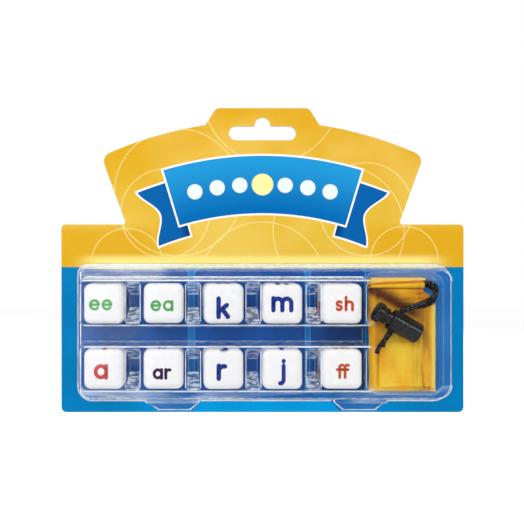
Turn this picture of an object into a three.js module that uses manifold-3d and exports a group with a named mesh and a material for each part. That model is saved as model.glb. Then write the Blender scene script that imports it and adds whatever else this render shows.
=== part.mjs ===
// A letter dice word game in its hanging pack, in millimetres.
// Ten letter dice and a folded drawstring bag sit behind a clear formed blister.
// The blister's flange is trapped between the two layers of one card, folded at its bottom edge.
// The pack is laid out face up, with X to the right, Y up the card and Z towards the viewer.
// At the end it is stood upright: the face looks along -Y, +Z is up,
// and the origin is the top of the hang slot on the card's back.
import * as THREE from "three";
import { RoundedBoxGeometry } from "three/addons/geometries/RoundedBoxGeometry.js";
import { mergeVertices } from "three/addons/utils/BufferGeometryUtils.js";
import Module from "manifold-3d";

const wasm = await Module();
wasm.setup();

// Dice and the gaps between their pockets
const dieSize = 18;
const dieEdge = 2.6;
const pocketClearance = 0.9;
const pocketGap = 6.2;
const lastPocketGap = 2.8;
const rowGap = 8.9;
const dieBackGap = 0.5;
const dieSeatGap = 0.4;
const dieFrontGap = 1.45;

// Layers of the pack
const cardThickness = 0.45;
const glueFilm = 0.05;
const filmThickness = 0.4;

// Blister: a low tray, two ridges of dice pockets and a bag compartment
const trayDepth = 9;
const trayDraft = 2.4;
const trayLeftStep = 4.3;
const trayRightStep = 11.6;
const trayBottomStep = 7.65;
const trayTopStep = 6.95;
const trayCornerBottomRight = 9;
const trayCornerTopRight = 8;
const trayCornerTopLeft = 4.6;
const trayCornerBottomLeft = 7;
const ridgeDraft = 0.8;
const ridgeCorner = 2;
const moldedEdge = 0.9;
const flangeWidth = 4.2;
const windowClearance = 0.3;

// Hollows between the pockets
const hollowUpperSlope = 6.6;
const hollowLowerSlope = 7.4;
const hollowDraft = 0.5;
const hollowCorner = 0.6;
const crestWidth = 0.8;

// Bag compartment of the blister
const bagPocketWidth = 30.1;
const bagPocketBottomStep = 6.7;
const bagPocketTopStep = 6.2;
const bagPocketDraft = 2.2;
const bagPocketRightDraft = 4.2;
const bagPocketCorner = 4;

// Two shallow lugs on the lower edge of the blister
const leftLugOffset = 41.6;
const rightLugOffset = 44.9;
const lugDepth = 3.4;
const lugReach = 4.2;
const lugFootHalfWidth = 8.2;
const lugInnerHalfWidth = 12.4;
const lugFlare = 14.2;
const lugDraft = 0.5;

// Card round the blister
const leftBorder = 7.6;
const rightBorder = 5.8;
const bottomBorder = 5.4;
const topBorder = 18.7;
const shoulderWidth = 30.6;
const headerFlare = 11.7;
const headerRise = 49;
const crownRadius = 180.6;
const hangTabRise = 6;
const hangTabMargin = 6.1;
const hangTabFlare = 5;
const panelTopCorner = 1.8;
const panelBottomCorner = 2.4;
const headerCorner = 4.4;
const hangTabCorner = 3.2;
const hangTabFootCorner = 1.2;
const foldGap = 0.15;

// Hang slot
const slotWidth = 31.7;
const slotHeight = 6.6;
const slotCrownWidth = 7.4;
const slotCrownRise = 4.2;
const slotCover = 4.4;
const slotShoulderCorner = 0.8;

// Folded bag
const bagLeftGap = 1.9;
const bagSpread = 0.5;
const bagDrop = 1.7;
const bagCorner = 3.4;
const bagCordCorner = 9;
const softGap = 0.3;
const hemHeight = 5.2;
const hemTopGap = 0.1;
const hemSetback = 6.2;
const hemThickness = 8;
const hemRound = 2.2;

// Drawcord
const cordDiameter = 2.2;
const cordGap = 0.3;
const cordSides = 8;
const cordSteps = 40;

// Cord lock, its place on the bag and the slope of its axis
const lockInset = 10;
const lockRise = 33.5;
const lockTiltDegrees = 60.9;
const lockSink = 1.1;
const lockFrontGap = 1.35;
const barrelRadius = 4.9;
const barrelBore = 4;
const barrelRimHeight = 2.8;
const barrelTailLength = 11.8;
const barrelFloor = 1.2;
const barrelRound = 1.3;
const plungerRadius = 3.8;
const plungerTravel = 3.5;
const plungerFootWeb = 2.2;
const plungerTop = 10.7;
const plungerHeadRadius = 4.6;
const plungerHeadHeight = 3.1;
const plungerHeadRound = 0.9;
const plungerGrooveDepth = 0.5;
const plungerGrooveWidth = 0.5;

// Spring inside the cord lock
const springRadius = 2.7;
const springWire = 0.6;
const springTurns = 4;
const springSeat = 0.3;
const springStepsPerTurn = 8;
const springSides = 5;

// Cutters run this far past the faces they cut
const overrun = 1;
// Steps in a rounded corner, a molded edge and a turned profile
const cornerSteps = 5;
const edgeSteps = 2;
const latheSteps = 24;
const crownSteps = 9;

const letters = [
  ["ee", "ea", "k", "m", "sh"],
  ["a", "ar", "r", "j", "ff"],
];
const columnCount = letters[0].length;

// Depths, from the card's back face
const flangeBack = cardThickness + glueFilm;
const flangeFront = flangeBack + filmThickness;
const frontCardBack = flangeFront + glueFilm;
const faceDepth = frontCardBack + cardThickness;
const dieBack = cardThickness + dieBackGap;
const trayFront = faceDepth + trayDepth;
const ridgeFront = dieBack + dieSize + dieFrontGap + filmThickness;
const bagBack = cardThickness + softGap;
const bagFront = ridgeFront - filmThickness - lockFrontGap - 2 * barrelRadius + lockSink;
const bagThickness = bagFront - bagBack;

// Widths and places across the pack, from its middle
const pocketHalf = dieSize / 2 + pocketClearance;
const ridgeHalf = pocketHalf + filmThickness;
const diePitch = 2 * ridgeHalf + pocketGap;
const ridgeWidth = columnCount * diePitch - pocketGap + lastPocketGap;
const trayWidth = trayLeftStep + ridgeWidth + bagPocketWidth + trayRightStep;
const cardWidth = trayWidth + leftBorder + rightBorder;
const trayLeft = leftBorder - cardWidth / 2;
const trayRight = cardWidth / 2 - rightBorder;
const columns = letters[0].map(
  (letter, column) => trayLeft + trayLeftStep + ridgeHalf + column * diePitch,
);
const bagPocketRight = trayRight - trayRightStep;
const bagPocketLeft = bagPocketRight - bagPocketWidth;
const bagLeft = bagPocketLeft + bagLeftGap;
const bagRight = bagLeft + bagPocketWidth + bagSpread;
const hemRight = bagRight - hemSetback;
const lockX = bagLeft + lockInset;
const headerFootHalfWidth = cardWidth / 2 - shoulderWidth;
const headerTipHalfWidth = headerFootHalfWidth + headerFlare;
const hangTabHalfWidth = slotWidth / 2 + hangTabMargin;
const hangTabFootHalfWidth = hangTabHalfWidth + hangTabFlare;

// Heights, from the card's lower edge
const trayBottom = bottomBorder;
const lowerRow = trayBottom + trayBottomStep + ridgeHalf;
const upperRow = lowerRow + 2 * ridgeHalf + rowGap;
const rows = [upperRow, lowerRow];
const trayTop = upperRow + ridgeHalf + trayTopStep;
const lugBottom = trayBottom - lugReach;
const bagPocketBottom = trayBottom + bagPocketBottomStep;
const bagPocketTop = trayTop - bagPocketTopStep;
const bagBottom = bagPocketBottom - bagDrop;
const hemTop = bagPocketTop - hemTopGap;
const hemBottom = hemTop - hemHeight;
const bagTop = hemBottom - softGap;
const lockY = bagBottom + lockRise;
const panelHeight = trayTop + topBorder;
const crownHeight = panelHeight + headerRise;
const cardHeight = crownHeight + hangTabRise;
const slotTop = cardHeight - slotCover;
const slotCrownFoot = slotTop - slotCrownRise;
const slotBottom = slotCrownFoot - slotHeight;

// Small turns of the dice in their pockets, in degrees about Y and X
const dieTurns = {
  ee: [0.6, 1.2],
  ea: [1, -0.8],
  k: [3.5, 1],
  m: [-0.8, 1.4],
  sh: [-1.2, 0.9],
  a: [0.8, 0],
  ar: [0.4, -0.6],
  r: [2.5, 0.5],
  j: [-0.6, 0.8],
  ff: [-1, -0.7],
};

// The drawcord pair's route: X, Y and Z of its middle, and the turn in degrees
// of one strand round the other. It leaves the hem, passes the lock and ends in two tails.
const cordRoute = [
  [hemRight + 2 * cordGap, 61.4, 4.9, -47],
  [75.67, 61.29, 5.02, -46],
  [76.85, 60.95, 5.38, -43],
  [77.86, 60.42, 5.94, -37],
  [78.64, 59.72, 6.68, -28],
  [79.12, 58.89, 7.56, -16],
  [79.26, 57.95, 8.58, -2],
  [79.06, 56.94, 9.7, 14],
  [78.49, 55.85, 10.84, 30],
  [77.5, 54.72, 11.87, 42],
  [76.1, 53.6, 12.7, 50],
  [74.4, 52.7, 13.2, 50],
  [72.3, 51.9, 13.6, 42],
  [70.2, 51.35, 13.85, 30],
  [68.2, 50.9, 14.05, 16],
  [66.3, 50.45, 14.15, 5],
  [64.55, 49.95, 14.15, 0],
  [63.25, 49.38, 14.15, 0],
  [62.2, 48.48, 14.15, 0],
  [61.3, 47.2, 14.15, 0],
  [60.4, 45.7, 14.15, 0],
  [lockX, lockY, 14.15, 0],
  [58.1, 41.6, 14.15, 0],
  [57.1, 39.8, 14.15, 0],
  [56.1, 38.2, 14.1, 2],
  [55.1, 36.8, 14, 8],
  [54.2, 35.4, 13.9, 18],
  [53.4, 33.9, 13.6, 32],
  [52.8, 32.4, 13.3, 48],
  [52.4, 30.9, 13, 60],
  [52.1, 29.3, 12.8, 66],
];
const shortTailPoints = 2;

const materials = {
  printedFront: new THREE.MeshStandardMaterial({ color: 0xf0bd3c, roughness: 0.45, metalness: 0 }),
  printedBack: new THREE.MeshStandardMaterial({ color: 0x2f74bd, roughness: 0.5, metalness: 0 }),
  clearFilm: new THREE.MeshStandardMaterial({
    color: 0xe6eef5,
    roughness: 0.08,
    metalness: 0,
    transparent: true,
    opacity: 0.3,
  }),
  dice: new THREE.MeshStandardMaterial({ color: 0xf3f2f4, roughness: 0.3, metalness: 0 }),
  cloth: new THREE.MeshStandardMaterial({ color: 0xefab2c, roughness: 0.75, metalness: 0 }),
  cord: new THREE.MeshStandardMaterial({ color: 0x141416, roughness: 0.9, metalness: 0 }),
  lock: new THREE.MeshStandardMaterial({ color: 0x1c1c1f, roughness: 0.4, metalness: 0 }),
  spring: new THREE.MeshStandardMaterial({ color: 0xb9bcc0, roughness: 0.35, metalness: 1 }),
};

// Turns a closed geometry into a solid that can be cut and joined.
function solid(geometry) {
  const bare = geometry.index ? geometry.toNonIndexed() : geometry.clone();
  bare.deleteAttribute("normal");
  bare.deleteAttribute("uv");
  const merged = mergeVertices(bare);
  const triVerts = new Uint32Array(merged.index.array);
  const vertProperties = merged.attributes.position.array;
  return new wasm.Manifold(new wasm.Mesh({ numProp: 3, vertProperties, triVerts }));
}

// Turns a solid back into a geometry.
function geometryOf(made) {
  const { vertProperties, triVerts } = made.getMesh();
  const geometry = new THREE.BufferGeometry();
  geometry.setAttribute("position", new THREE.BufferAttribute(vertProperties, 3));
  geometry.setIndex(new THREE.BufferAttribute(triVerts, 1));
  geometry.computeVertexNormals();
  return geometry;
}

function named(name, geometry, material) {
  const mesh = new THREE.Mesh(geometry, material);
  mesh.name = name;
  return mesh;
}

// A closed outline from corners [x, y, radius], each rounded by its own arc.
function roundedOutline(corners) {
  const outline = [];
  corners.forEach(([x, y, radius], i) => {
    const corner = new THREE.Vector2(x, y);
    const before = corners[(i + corners.length - 1) % corners.length];
    const after = corners[(i + 1) % corners.length];
    const back = new THREE.Vector2(before[0], before[1]).sub(corner).normalize();
    const ahead = new THREE.Vector2(after[0], after[1]).sub(corner).normalize();
    if (radius === 0) {
      outline.push(corner);
      return;
    }
    const half = Math.acos(THREE.MathUtils.clamp(back.dot(ahead), -1, 1)) / 2;
    const middle = back.clone().add(ahead).normalize();
    const centre = corner.clone().addScaledVector(middle, radius / Math.sin(half));
    const start = corner.clone().addScaledVector(back, radius / Math.tan(half)).sub(centre);
    const turn = Math.sign(back.cross(ahead)) * -(Math.PI - 2 * half);
    for (let step = 0; step <= cornerSteps; step++) {
      const angle = (turn * step) / cornerSteps;
      outline.push(start.clone().rotateAround(new THREE.Vector2(), angle).add(centre));
    }
  });
  return outline.filter((point, i) => {
    const next = outline[(i + 1) % outline.length];
    return point.distanceTo(next) > glueFilm / 10;
  });
}

// A rectangle's outline with radii for its lower right, upper right, upper left
// and lower left corners. It always has the same number of points.
function rectangle(left, right, bottom, top, radii) {
  const centres = [
    [right - radii[0], bottom + radii[0], radii[0], -Math.PI / 2],
    [right - radii[1], top - radii[1], radii[1], 0],
    [left + radii[2], top - radii[2], radii[2], Math.PI / 2],
    [left + radii[3], bottom + radii[3], radii[3], Math.PI],
  ];
  return centres.flatMap(([x, y, radius, start]) =>
    Array.from({ length: cornerSteps + 1 }, (unused, step) => {
      const angle = start + ((Math.PI / 2) * step) / cornerSteps;
      return new THREE.Vector2(x + radius * Math.cos(angle), y + radius * Math.sin(angle));
    }),
  );
}

// A closed solid through outlines of equal point count, each at its own depth.
function loft(rings) {
  const count = rings[0].outline.length;
  const positions = [];
  rings.forEach(({ outline, depth }) => outline.forEach((p) => positions.push(p.x, p.y, depth)));
  const index = [];
  for (let ring = 0; ring < rings.length - 1; ring++) {
    for (let i = 0; i < count; i++) {
      const a = ring * count + i;
      const b = ring * count + ((i + 1) % count);
      index.push(a, b, b + count, a, b + count, a + count);
    }
  }
  const cap = (outline, first, facing) => {
    THREE.ShapeUtils.triangulateShape(outline, []).forEach(([a, b, c]) => {
      const edge = outline[b].clone().sub(outline[a]);
      const turn = edge.cross(outline[c].clone().sub(outline[a]));
      const order = turn * facing > 0 ? [a, b, c] : [a, c, b];
      index.push(...order.map((i) => first + i));
    });
  };
  cap(rings[0].outline, 0, -1);
  cap(rings[rings.length - 1].outline, (rings.length - 1) * count, 1);
  const geometry = new THREE.BufferGeometry();
  geometry.setAttribute("position", new THREE.Float32BufferAttribute(positions, 3));
  geometry.setIndex(index);
  return geometry;
}

// A flat plate between two depths, with holes cut through it.
function plate(outline, back, front, holes = []) {
  const shape = new THREE.Shape(outline);
  shape.holes = holes.map((hole) => new THREE.Path(hole));
  const geometry = new THREE.ExtrudeGeometry(shape, { depth: front - back, bevelEnabled: false });
  return geometry.translate(0, 0, back);
}

function crownAt(x) {
  return crownHeight - crownRadius + Math.sqrt(crownRadius ** 2 - x ** 2);
}

// The die-cut card: a wide panel, a crowned header and a hang tab.
function cardOutline() {
  const half = cardWidth / 2;
  const crown = [];
  for (let step = 1; step < crownSteps; step++) {
    const share = step / crownSteps;
    const x = THREE.MathUtils.lerp(headerTipHalfWidth, hangTabFootHalfWidth, share);
    crown.push([x, crownAt(x), 0]);
  }
  const right = [
    [half, foldGap, panelBottomCorner],
    [half, panelHeight, panelTopCorner],
    [headerFootHalfWidth, panelHeight, hangTabFootCorner],
    [headerTipHalfWidth, crownAt(headerTipHalfWidth), headerCorner],
    ...crown,
    [hangTabFootHalfWidth, crownAt(hangTabFootHalfWidth), hangTabFootCorner],
    [hangTabHalfWidth, cardHeight, hangTabCorner],
  ];
  const left = right.map(([x, y, radius]) => [-x, y, radius]).reverse();
  return roundedOutline([...right, ...left]);
}

// The hang slot: a long slot with a round crown that centres the peg.
function slotOutline() {
  const half = slotWidth / 2;
  const crownHalf = slotCrownWidth / 2;
  const top = slotCrownFoot;
  const end = slotHeight / 2;
  return roundedOutline([
    [-half, slotBottom, end],
    [half, slotBottom, end],
    [half, top, end],
    [crownHalf, top, slotShoulderCorner],
    [crownHalf, slotTop, crownHalf],
    [-crownHalf, slotTop, crownHalf],
    [-crownHalf, top, slotShoulderCorner],
    [-half, top, end],
  ]);
}

// The tray's outline, drawn in by an inset.
function trayOutline(inset) {
  const radii = [
    trayCornerBottomRight,
    trayCornerTopRight,
    trayCornerTopLeft,
    trayCornerBottomLeft,
  ].map((radius) => Math.max(radius - inset, moldedEdge));
  return rectangle(
    trayLeft + inset,
    trayRight - inset,
    trayBottom + inset,
    trayTop - inset,
    radii,
  );
}

// A lug's outline, drawn in by an inset: straight towards the middle, flared on the other flank.
function lugOutline(side, inset) {
  const top = trayBottom + trayDraft + overrun;
  const bottom = lugBottom + inset;
  const flare = new THREE.QuadraticBezierCurve(
    new THREE.Vector2(lugFootHalfWidth - inset, bottom),
    new THREE.Vector2(lugFootHalfWidth + lugDepth - inset, trayBottom - inset),
    new THREE.Vector2(lugFlare - inset, trayBottom),
  ).getPoints(cornerSteps);
  const outline = [
    new THREE.Vector2(-lugInnerHalfWidth + inset, trayBottom),
    new THREE.Vector2(-lugFootHalfWidth + inset, bottom),
    ...flare,
    new THREE.Vector2(lugFlare - inset, top),
    new THREE.Vector2(-lugInnerHalfWidth + inset, top),
  ];
  const offset = side > 0 ? rightLugOffset : leftLugOffset;
  const placed = outline.map((p) => new THREE.Vector2(side * (offset + p.x), p.y));
  return side > 0 ? placed : placed.reverse();
}

// Rings of a molded edge: a quarter round from a wall onto a front face.
function edgeRings(outlineAt, inset, front, radius) {
  return Array.from({ length: edgeSteps + 1 }, (unused, step) => {
    const angle = ((Math.PI / 2) * step) / edgeSteps;
    const drawnIn = inset + radius * (1 - Math.cos(angle));
    return { outline: outlineAt(drawnIn), depth: front - radius * (1 - Math.sin(angle)) };
  });
}

// The tray, with a film's thickness taken off for its inner face.
function trayBlock(film) {
  const back = film > 0 ? flangeBack - overrun : flangeBack;
  return solid(
    loft([
      { outline: trayOutline(film), depth: back },
      { outline: trayOutline(film), depth: faceDepth },
      ...edgeRings(trayOutline, trayDraft + film, trayFront - film, moldedEdge),
    ]),
  );
}

function lugBlock(side, film) {
  const back = film > 0 ? flangeBack - overrun : flangeBack;
  const front = faceDepth + lugDepth - film;
  const outlineAt = (inset) => lugOutline(side, inset);
  return solid(
    loft([
      { outline: outlineAt(film), depth: back },
      { outline: outlineAt(film), depth: faceDepth },
      ...edgeRings(outlineAt, lugDraft + film, front, moldedEdge),
    ]),
  );
}

// A raised block on the tray, given by its front rectangle and widened by its draft at the tray.
function raisedBlock({ left, right, bottom, top, corner, draft, rightDraft }, film) {
  const outlineAt = (inset, spread) => {
    const shift = inset - draft * spread;
    const radius = Math.max(corner - shift, moldedEdge);
    return rectangle(
      left + shift,
      right - inset + rightDraft * spread,
      bottom + shift,
      top - shift,
      [radius, radius, radius, radius],
    );
  };
  const frontOutline = (inset) => outlineAt(inset, 0);
  return solid(
    loft([
      { outline: outlineAt(film, 1), depth: trayFront - film - overrun },
      { outline: outlineAt(film, 1), depth: trayFront - film },
      ...edgeRings(frontOutline, film, ridgeFront - film, moldedEdge),
    ]),
  );
}

// A cut from the front down to the tray between two rectangles [left, right, bottom, top].
function frontCut(frontFace, floorFace, film) {
  const radii = [hollowCorner, hollowCorner, hollowCorner, hollowCorner];
  const frontOutline = rectangle(...frontFace, radii);
  const floorOutline = rectangle(...floorFace, radii);
  const floor = trayFront - film;
  return solid(
    loft([
      { outline: floorOutline, depth: floor - overrun / 2 },
      { outline: floorOutline, depth: floor },
      { outline: frontOutline, depth: ridgeFront - film },
      { outline: frontOutline, depth: ridgeFront + overrun },
    ]),
  );
}

// The hollow between two neighbouring pockets of a row.
function hollow(row, left, right, film) {
  const top = row + ridgeHalf;
  const bottom = row - ridgeHalf;
  const crest = crestWidth - (3 * film) / 2;
  return frontCut(
    [left - film, right + film, bottom + crest, top - crest],
    [
      left + hollowDraft - film,
      right - hollowDraft + film,
      bottom + hollowLowerSlope - film,
      top - hollowUpperSlope + film,
    ],
    film,
  );
}

// The groove between the two rows, open at the left end.
function rowGroove(film) {
  const top = upperRow - ridgeHalf;
  const bottom = lowerRow + ridgeHalf;
  const left = trayLeft - overrun;
  const right = bagPocketLeft + 2 * overrun;
  return frontCut(
    [left, right, bottom - film, top + film],
    [left, right, bottom + ridgeDraft - film, top - ridgeDraft + film],
    film,
  );
}

// The blister's form, with a film's thickness taken off for its inner face.
function blisterForm(film) {
  const ridgeRight = bagPocketLeft + overrun / 2;
  let ridges = raisedBlock(
    {
      left: columns[0] - ridgeHalf,
      right: ridgeRight,
      bottom: lowerRow - ridgeHalf,
      top: upperRow + ridgeHalf,
      corner: ridgeCorner,
      draft: ridgeDraft,
      rightDraft: 0,
    },
    film,
  ).subtract(rowGroove(film));
  for (const row of rows) {
    columns.forEach((x, column) => {
      const last = column === columnCount - 1;
      const next = last ? ridgeRight + overrun : columns[column + 1] - ridgeHalf;
      ridges = ridges.subtract(hollow(row, x + ridgeHalf, next, film));
    });
  }
  const bagPocket = raisedBlock(
    {
      left: bagPocketLeft,
      right: bagPocketRight,
      bottom: bagPocketBottom,
      top: bagPocketTop,
      corner: bagPocketCorner,
      draft: bagPocketDraft,
      rightDraft: bagPocketRightDraft,
    },
    film,
  );
  return trayBlock(film)
    .add(ridges)
    .add(bagPocket)
    .add(lugBlock(1, film))
    .add(lugBlock(-1, film));
}

function blisterShell() {
  const corner = trayCornerBottomLeft;
  const flange = rectangle(
    trayLeft - flangeWidth,
    trayRight + flangeWidth,
    lugBottom - windowClearance,
    trayTop + flangeWidth,
    [corner, corner, corner, corner],
  );
  return solid(plate(flange, flangeBack, flangeFront))
    .add(blisterForm(0))
    .subtract(blisterForm(filmThickness));
}

function frontCard() {
  const back = frontCardBack - overrun;
  const front = faceDepth + overrun;
  const cut = (outline) => solid(plate(outline, back, front));
  return solid(plate(cardOutline(), frontCardBack, faceDepth, [slotOutline()]))
    .subtract(cut(trayOutline(-windowClearance)))
    .subtract(cut(lugOutline(1, -windowClearance)))
    .subtract(cut(lugOutline(-1, -windowClearance)));
}

function backCard() {
  return solid(plate(cardOutline(), 0, cardThickness, [slotOutline()]));
}

function addDice(group) {
  const geometry = new RoundedBoxGeometry(dieSize, dieSize, dieSize, 2, dieEdge);
  letters.forEach((names, row) =>
    names.forEach((name, column) => {
      const die = named("die_" + name, geometry, materials.dice);
      const seat = rows[row] - pocketClearance + dieSeatGap;
      die.position.set(columns[column], seat, dieBack + dieSize / 2);
      const [aboutY, aboutX] = dieTurns[name].map(THREE.MathUtils.degToRad);
      die.rotation.set(aboutX, aboutY, 0);
      group.add(die);
    }),
  );
}

const lockMatrix = new THREE.Matrix4()
  .makeRotationZ(THREE.MathUtils.degToRad(lockTiltDegrees))
  .setPosition(lockX, lockY, bagFront + barrelRadius - lockSink);

// The folded bag: a soft block, drawn in towards both faces, with a dent under the cord lock.
function bagBody() {
  const profileShares = [
    [0, 0.35],
    [0.12, 0.08],
    [0.4, 0],
    [0.7, 0.1],
    [0.9, 0.42],
    [1, 0.95],
  ];
  const rings = profileShares.map(([depthShare, insetShare]) => {
    const inset = bagCorner * insetShare;
    const radii = [bagCorner, bagCordCorner, bagCorner, bagCorner];
    const outline = rectangle(
      bagLeft + inset,
      bagRight - inset,
      bagBottom + inset,
      bagTop - inset,
      radii,
    );
    return { outline, depth: bagBack + bagThickness * depthShare };
  });
  const length = barrelTailLength + plungerTop + 2 * softGap;
  const dent = new THREE.CylinderGeometry(
    barrelRadius + softGap,
    barrelRadius + softGap,
    length,
    latheSteps,
  );
  dent.translate(0, (plungerTop - barrelTailLength) / 2, 0).applyMatrix4(lockMatrix);
  return solid(loft(rings)).subtract(solid(dent));
}

// The hem tunnel along the bag's mouth, with a flat end where the cord comes out.
function bagHem() {
  const front = bagBack + hemThickness;
  const radii = [hemRound, hemRound, hemRound, hemRound];
  const section = rectangle(-front, -bagBack, hemBottom, hemTop, radii);
  const geometry = plate(section, bagLeft, hemRight);
  return geometry.rotateY(Math.PI / 2);
}

// One strand's points: the pair's route, moved square to its own direction
// and turned round it. At no turn one strand lies in front of the other.
function strandPoints(side, count) {
  const route = cordRoute.map(([x, y, z]) => new THREE.Vector3(x, y, z));
  const towardsViewer = new THREE.Vector3(0, 0, 1);
  return route.slice(0, count).map((point, i) => {
    const before = route[Math.max(i - 1, 0)];
    const after = route[Math.min(i + 1, route.length - 1)];
    const along = after.clone().sub(before).normalize();
    const front = towardsViewer.clone().projectOnPlane(along).normalize();
    const aside = along.clone().cross(front);
    const angle = THREE.MathUtils.degToRad(cordRoute[i][3]);
    const reach = (side * (cordDiameter + cordGap)) / 2;
    return point
      .clone()
      .addScaledVector(front, reach * Math.cos(angle))
      .addScaledVector(aside, reach * Math.sin(angle));
  });
}

function strand(side, count) {
  const section = Array.from({ length: cordSides }, (unused, i) => {
    const angle = (2 * Math.PI * i) / cordSides;
    const radius = cordDiameter / 2;
    return new THREE.Vector2(radius * Math.cos(angle), radius * Math.sin(angle));
  });
  return new THREE.ExtrudeGeometry(new THREE.Shape(section), {
    steps: cordSteps,
    extrudePath: new THREE.CatmullRomCurve3(strandPoints(side, count)),
  });
}

// A solid of revolution about Y from [radius, height] points.
function turned(profile) {
  const points = profile.map(([radius, height]) => new THREE.Vector2(radius, height));
  return solid(new THREE.LatheGeometry(points, latheSteps));
}

// The cross slot that both strands run through, between two heights on the lock's axis.
function strandSlot(low, high) {
  const half = cordDiameter + cordGap / 2 + cordGap;
  const radii = [hollowCorner, hollowCorner, hollowCorner, hollowCorner];
  const reach = barrelRadius + overrun;
  const slot = plate(rectangle(-half, half, low, high, radii), -reach, reach);
  return solid(slot.rotateY(Math.PI / 2));
}

const strandRoom = cordDiameter / 2 + cordGap;

function lockBarrel() {
  const tail = -barrelTailLength;
  const floor = tail + barrelFloor;
  return turned([
    [0, tail],
    [barrelRadius - barrelRound, tail],
    [barrelRadius - barrelRound / 3, tail + barrelRound / 3],
    [barrelRadius, tail + barrelRound],
    [barrelRadius, barrelRimHeight - barrelRound / 3],
    [barrelRadius - barrelRound / 3, barrelRimHeight],
    [barrelBore, barrelRimHeight],
    [barrelBore, floor],
    [0, floor],
  ]).subtract(strandSlot(-strandRoom, strandRoom));
}

function lockPlunger() {
  const foot = -strandRoom - plungerFootWeb;
  const headFoot = plungerTop - plungerHeadHeight;
  const slotEnd = strandRoom + plungerTravel;
  const groove = (height) => [
    [plungerRadius, height],
    [plungerRadius - plungerGrooveDepth, height],
    [plungerRadius - plungerGrooveDepth, height + plungerGrooveWidth],
    [plungerRadius, height + plungerGrooveWidth],
  ];
  return turned([
    [0, foot],
    [plungerRadius, foot],
    ...groove(slotEnd + plungerGrooveWidth),
    ...groove(slotEnd + 3 * plungerGrooveWidth),
    [plungerRadius, headFoot],
    [plungerHeadRadius - plungerHeadRound / 2, headFoot],
    [plungerHeadRadius, headFoot + plungerHeadRound / 2],
    [plungerHeadRadius, plungerTop - plungerHeadRound],
    [plungerHeadRadius - plungerHeadRound, plungerTop],
    [0, plungerTop],
  ]).subtract(strandSlot(-strandRoom, slotEnd));
}

// The spring: one wire wound round the lock's axis, from the barrel's floor to the plunger's foot.
function lockSpring() {
  const low = -barrelTailLength + barrelFloor + springSeat + springWire / 2;
  const high = -strandRoom - plungerFootWeb - springSeat - springWire / 2;
  const steps = springTurns * springStepsPerTurn;
  const positions = [];
  const index = [];
  for (let step = 0; step <= steps; step++) {
    const around = (2 * Math.PI * step) / springStepsPerTurn;
    const height = THREE.MathUtils.lerp(low, high, step / steps);
    for (let side = 0; side < springSides; side++) {
      const angle = (2 * Math.PI * side) / springSides;
      const radius = springRadius + (springWire / 2) * Math.cos(angle);
      const rise = (springWire / 2) * Math.sin(angle);
      positions.push(radius * Math.cos(around), height + rise, -radius * Math.sin(around));
    }
  }
  for (let step = 0; step < steps; step++) {
    for (let side = 0; side < springSides; side++) {
      const a = step * springSides + side;
      const b = step * springSides + ((side + 1) % springSides);
      index.push(a, b + springSides, b, a, a + springSides, b + springSides);
    }
  }
  for (let side = 1; side < springSides - 1; side++) {
    const last = steps * springSides;
    index.push(0, side, side + 1, last, last + side + 1, last + side);
  }
  const geometry = new THREE.BufferGeometry();
  geometry.setAttribute("position", new THREE.Float32BufferAttribute(positions, 3));
  geometry.setIndex(index);
  return geometry;
}

function cordLock() {
  const group = new THREE.Group();
  group.add(named("cord_lock_barrel", geometryOf(lockBarrel()), materials.lock));
  group.add(named("cord_lock_plunger", geometryOf(lockPlunger()), materials.lock));
  group.add(named("cord_lock_spring", lockSpring(), materials.spring));
  group.applyMatrix4(lockMatrix);
  return group;
}

const faceUp = new THREE.Group();
faceUp.add(named("card_back", geometryOf(backCard()), materials.printedBack));
faceUp.add(named("card_front", geometryOf(frontCard()), materials.printedFront));
faceUp.add(named("blister_shell", geometryOf(blisterShell()), materials.clearFilm));
addDice(faceUp);
faceUp.add(named("bag_body", geometryOf(bagBody()), materials.cloth));
faceUp.add(named("bag_hem", bagHem(), materials.cloth));
faceUp.add(named("drawcord_strand_a", strand(1, cordRoute.length), materials.cord));
faceUp.add(
  named("drawcord_strand_b", strand(-1, cordRoute.length - shortTailPoints), materials.cord),
);
faceUp.add(cordLock());

faceUp.rotation.x = Math.PI / 2;
faceUp.position.z = -slotTop;

const wordGame = new THREE.Group();
wordGame.add(faceUp);

export default wordGame;
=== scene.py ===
# A letter dice word game in its hanging pack, in metres.
# Sizes and places are given in the pack's own layout, as it lies face up:
# across to the right, up from the card's lower edge, and depth towards the viewer.
import math

import bmesh
import bpy
from mathutils import Matrix, Vector, noise


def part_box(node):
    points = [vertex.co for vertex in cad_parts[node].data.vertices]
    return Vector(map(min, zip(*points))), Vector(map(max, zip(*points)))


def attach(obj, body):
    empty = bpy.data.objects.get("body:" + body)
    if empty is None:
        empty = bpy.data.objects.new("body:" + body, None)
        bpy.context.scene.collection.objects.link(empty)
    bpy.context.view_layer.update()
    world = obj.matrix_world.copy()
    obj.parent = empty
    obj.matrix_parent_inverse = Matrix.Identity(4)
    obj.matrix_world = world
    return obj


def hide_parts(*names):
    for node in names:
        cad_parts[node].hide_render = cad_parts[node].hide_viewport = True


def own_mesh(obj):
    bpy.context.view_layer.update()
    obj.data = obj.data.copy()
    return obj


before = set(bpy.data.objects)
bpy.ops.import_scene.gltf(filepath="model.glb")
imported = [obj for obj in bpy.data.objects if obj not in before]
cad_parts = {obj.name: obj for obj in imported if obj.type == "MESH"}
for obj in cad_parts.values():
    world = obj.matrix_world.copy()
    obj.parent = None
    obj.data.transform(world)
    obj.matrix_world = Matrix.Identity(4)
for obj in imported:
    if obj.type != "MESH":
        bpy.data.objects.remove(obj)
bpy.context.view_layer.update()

# The frame's origin is the top of the hang slot, this high above the card's lower edge
SLOT_TOP = 0.1394

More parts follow.
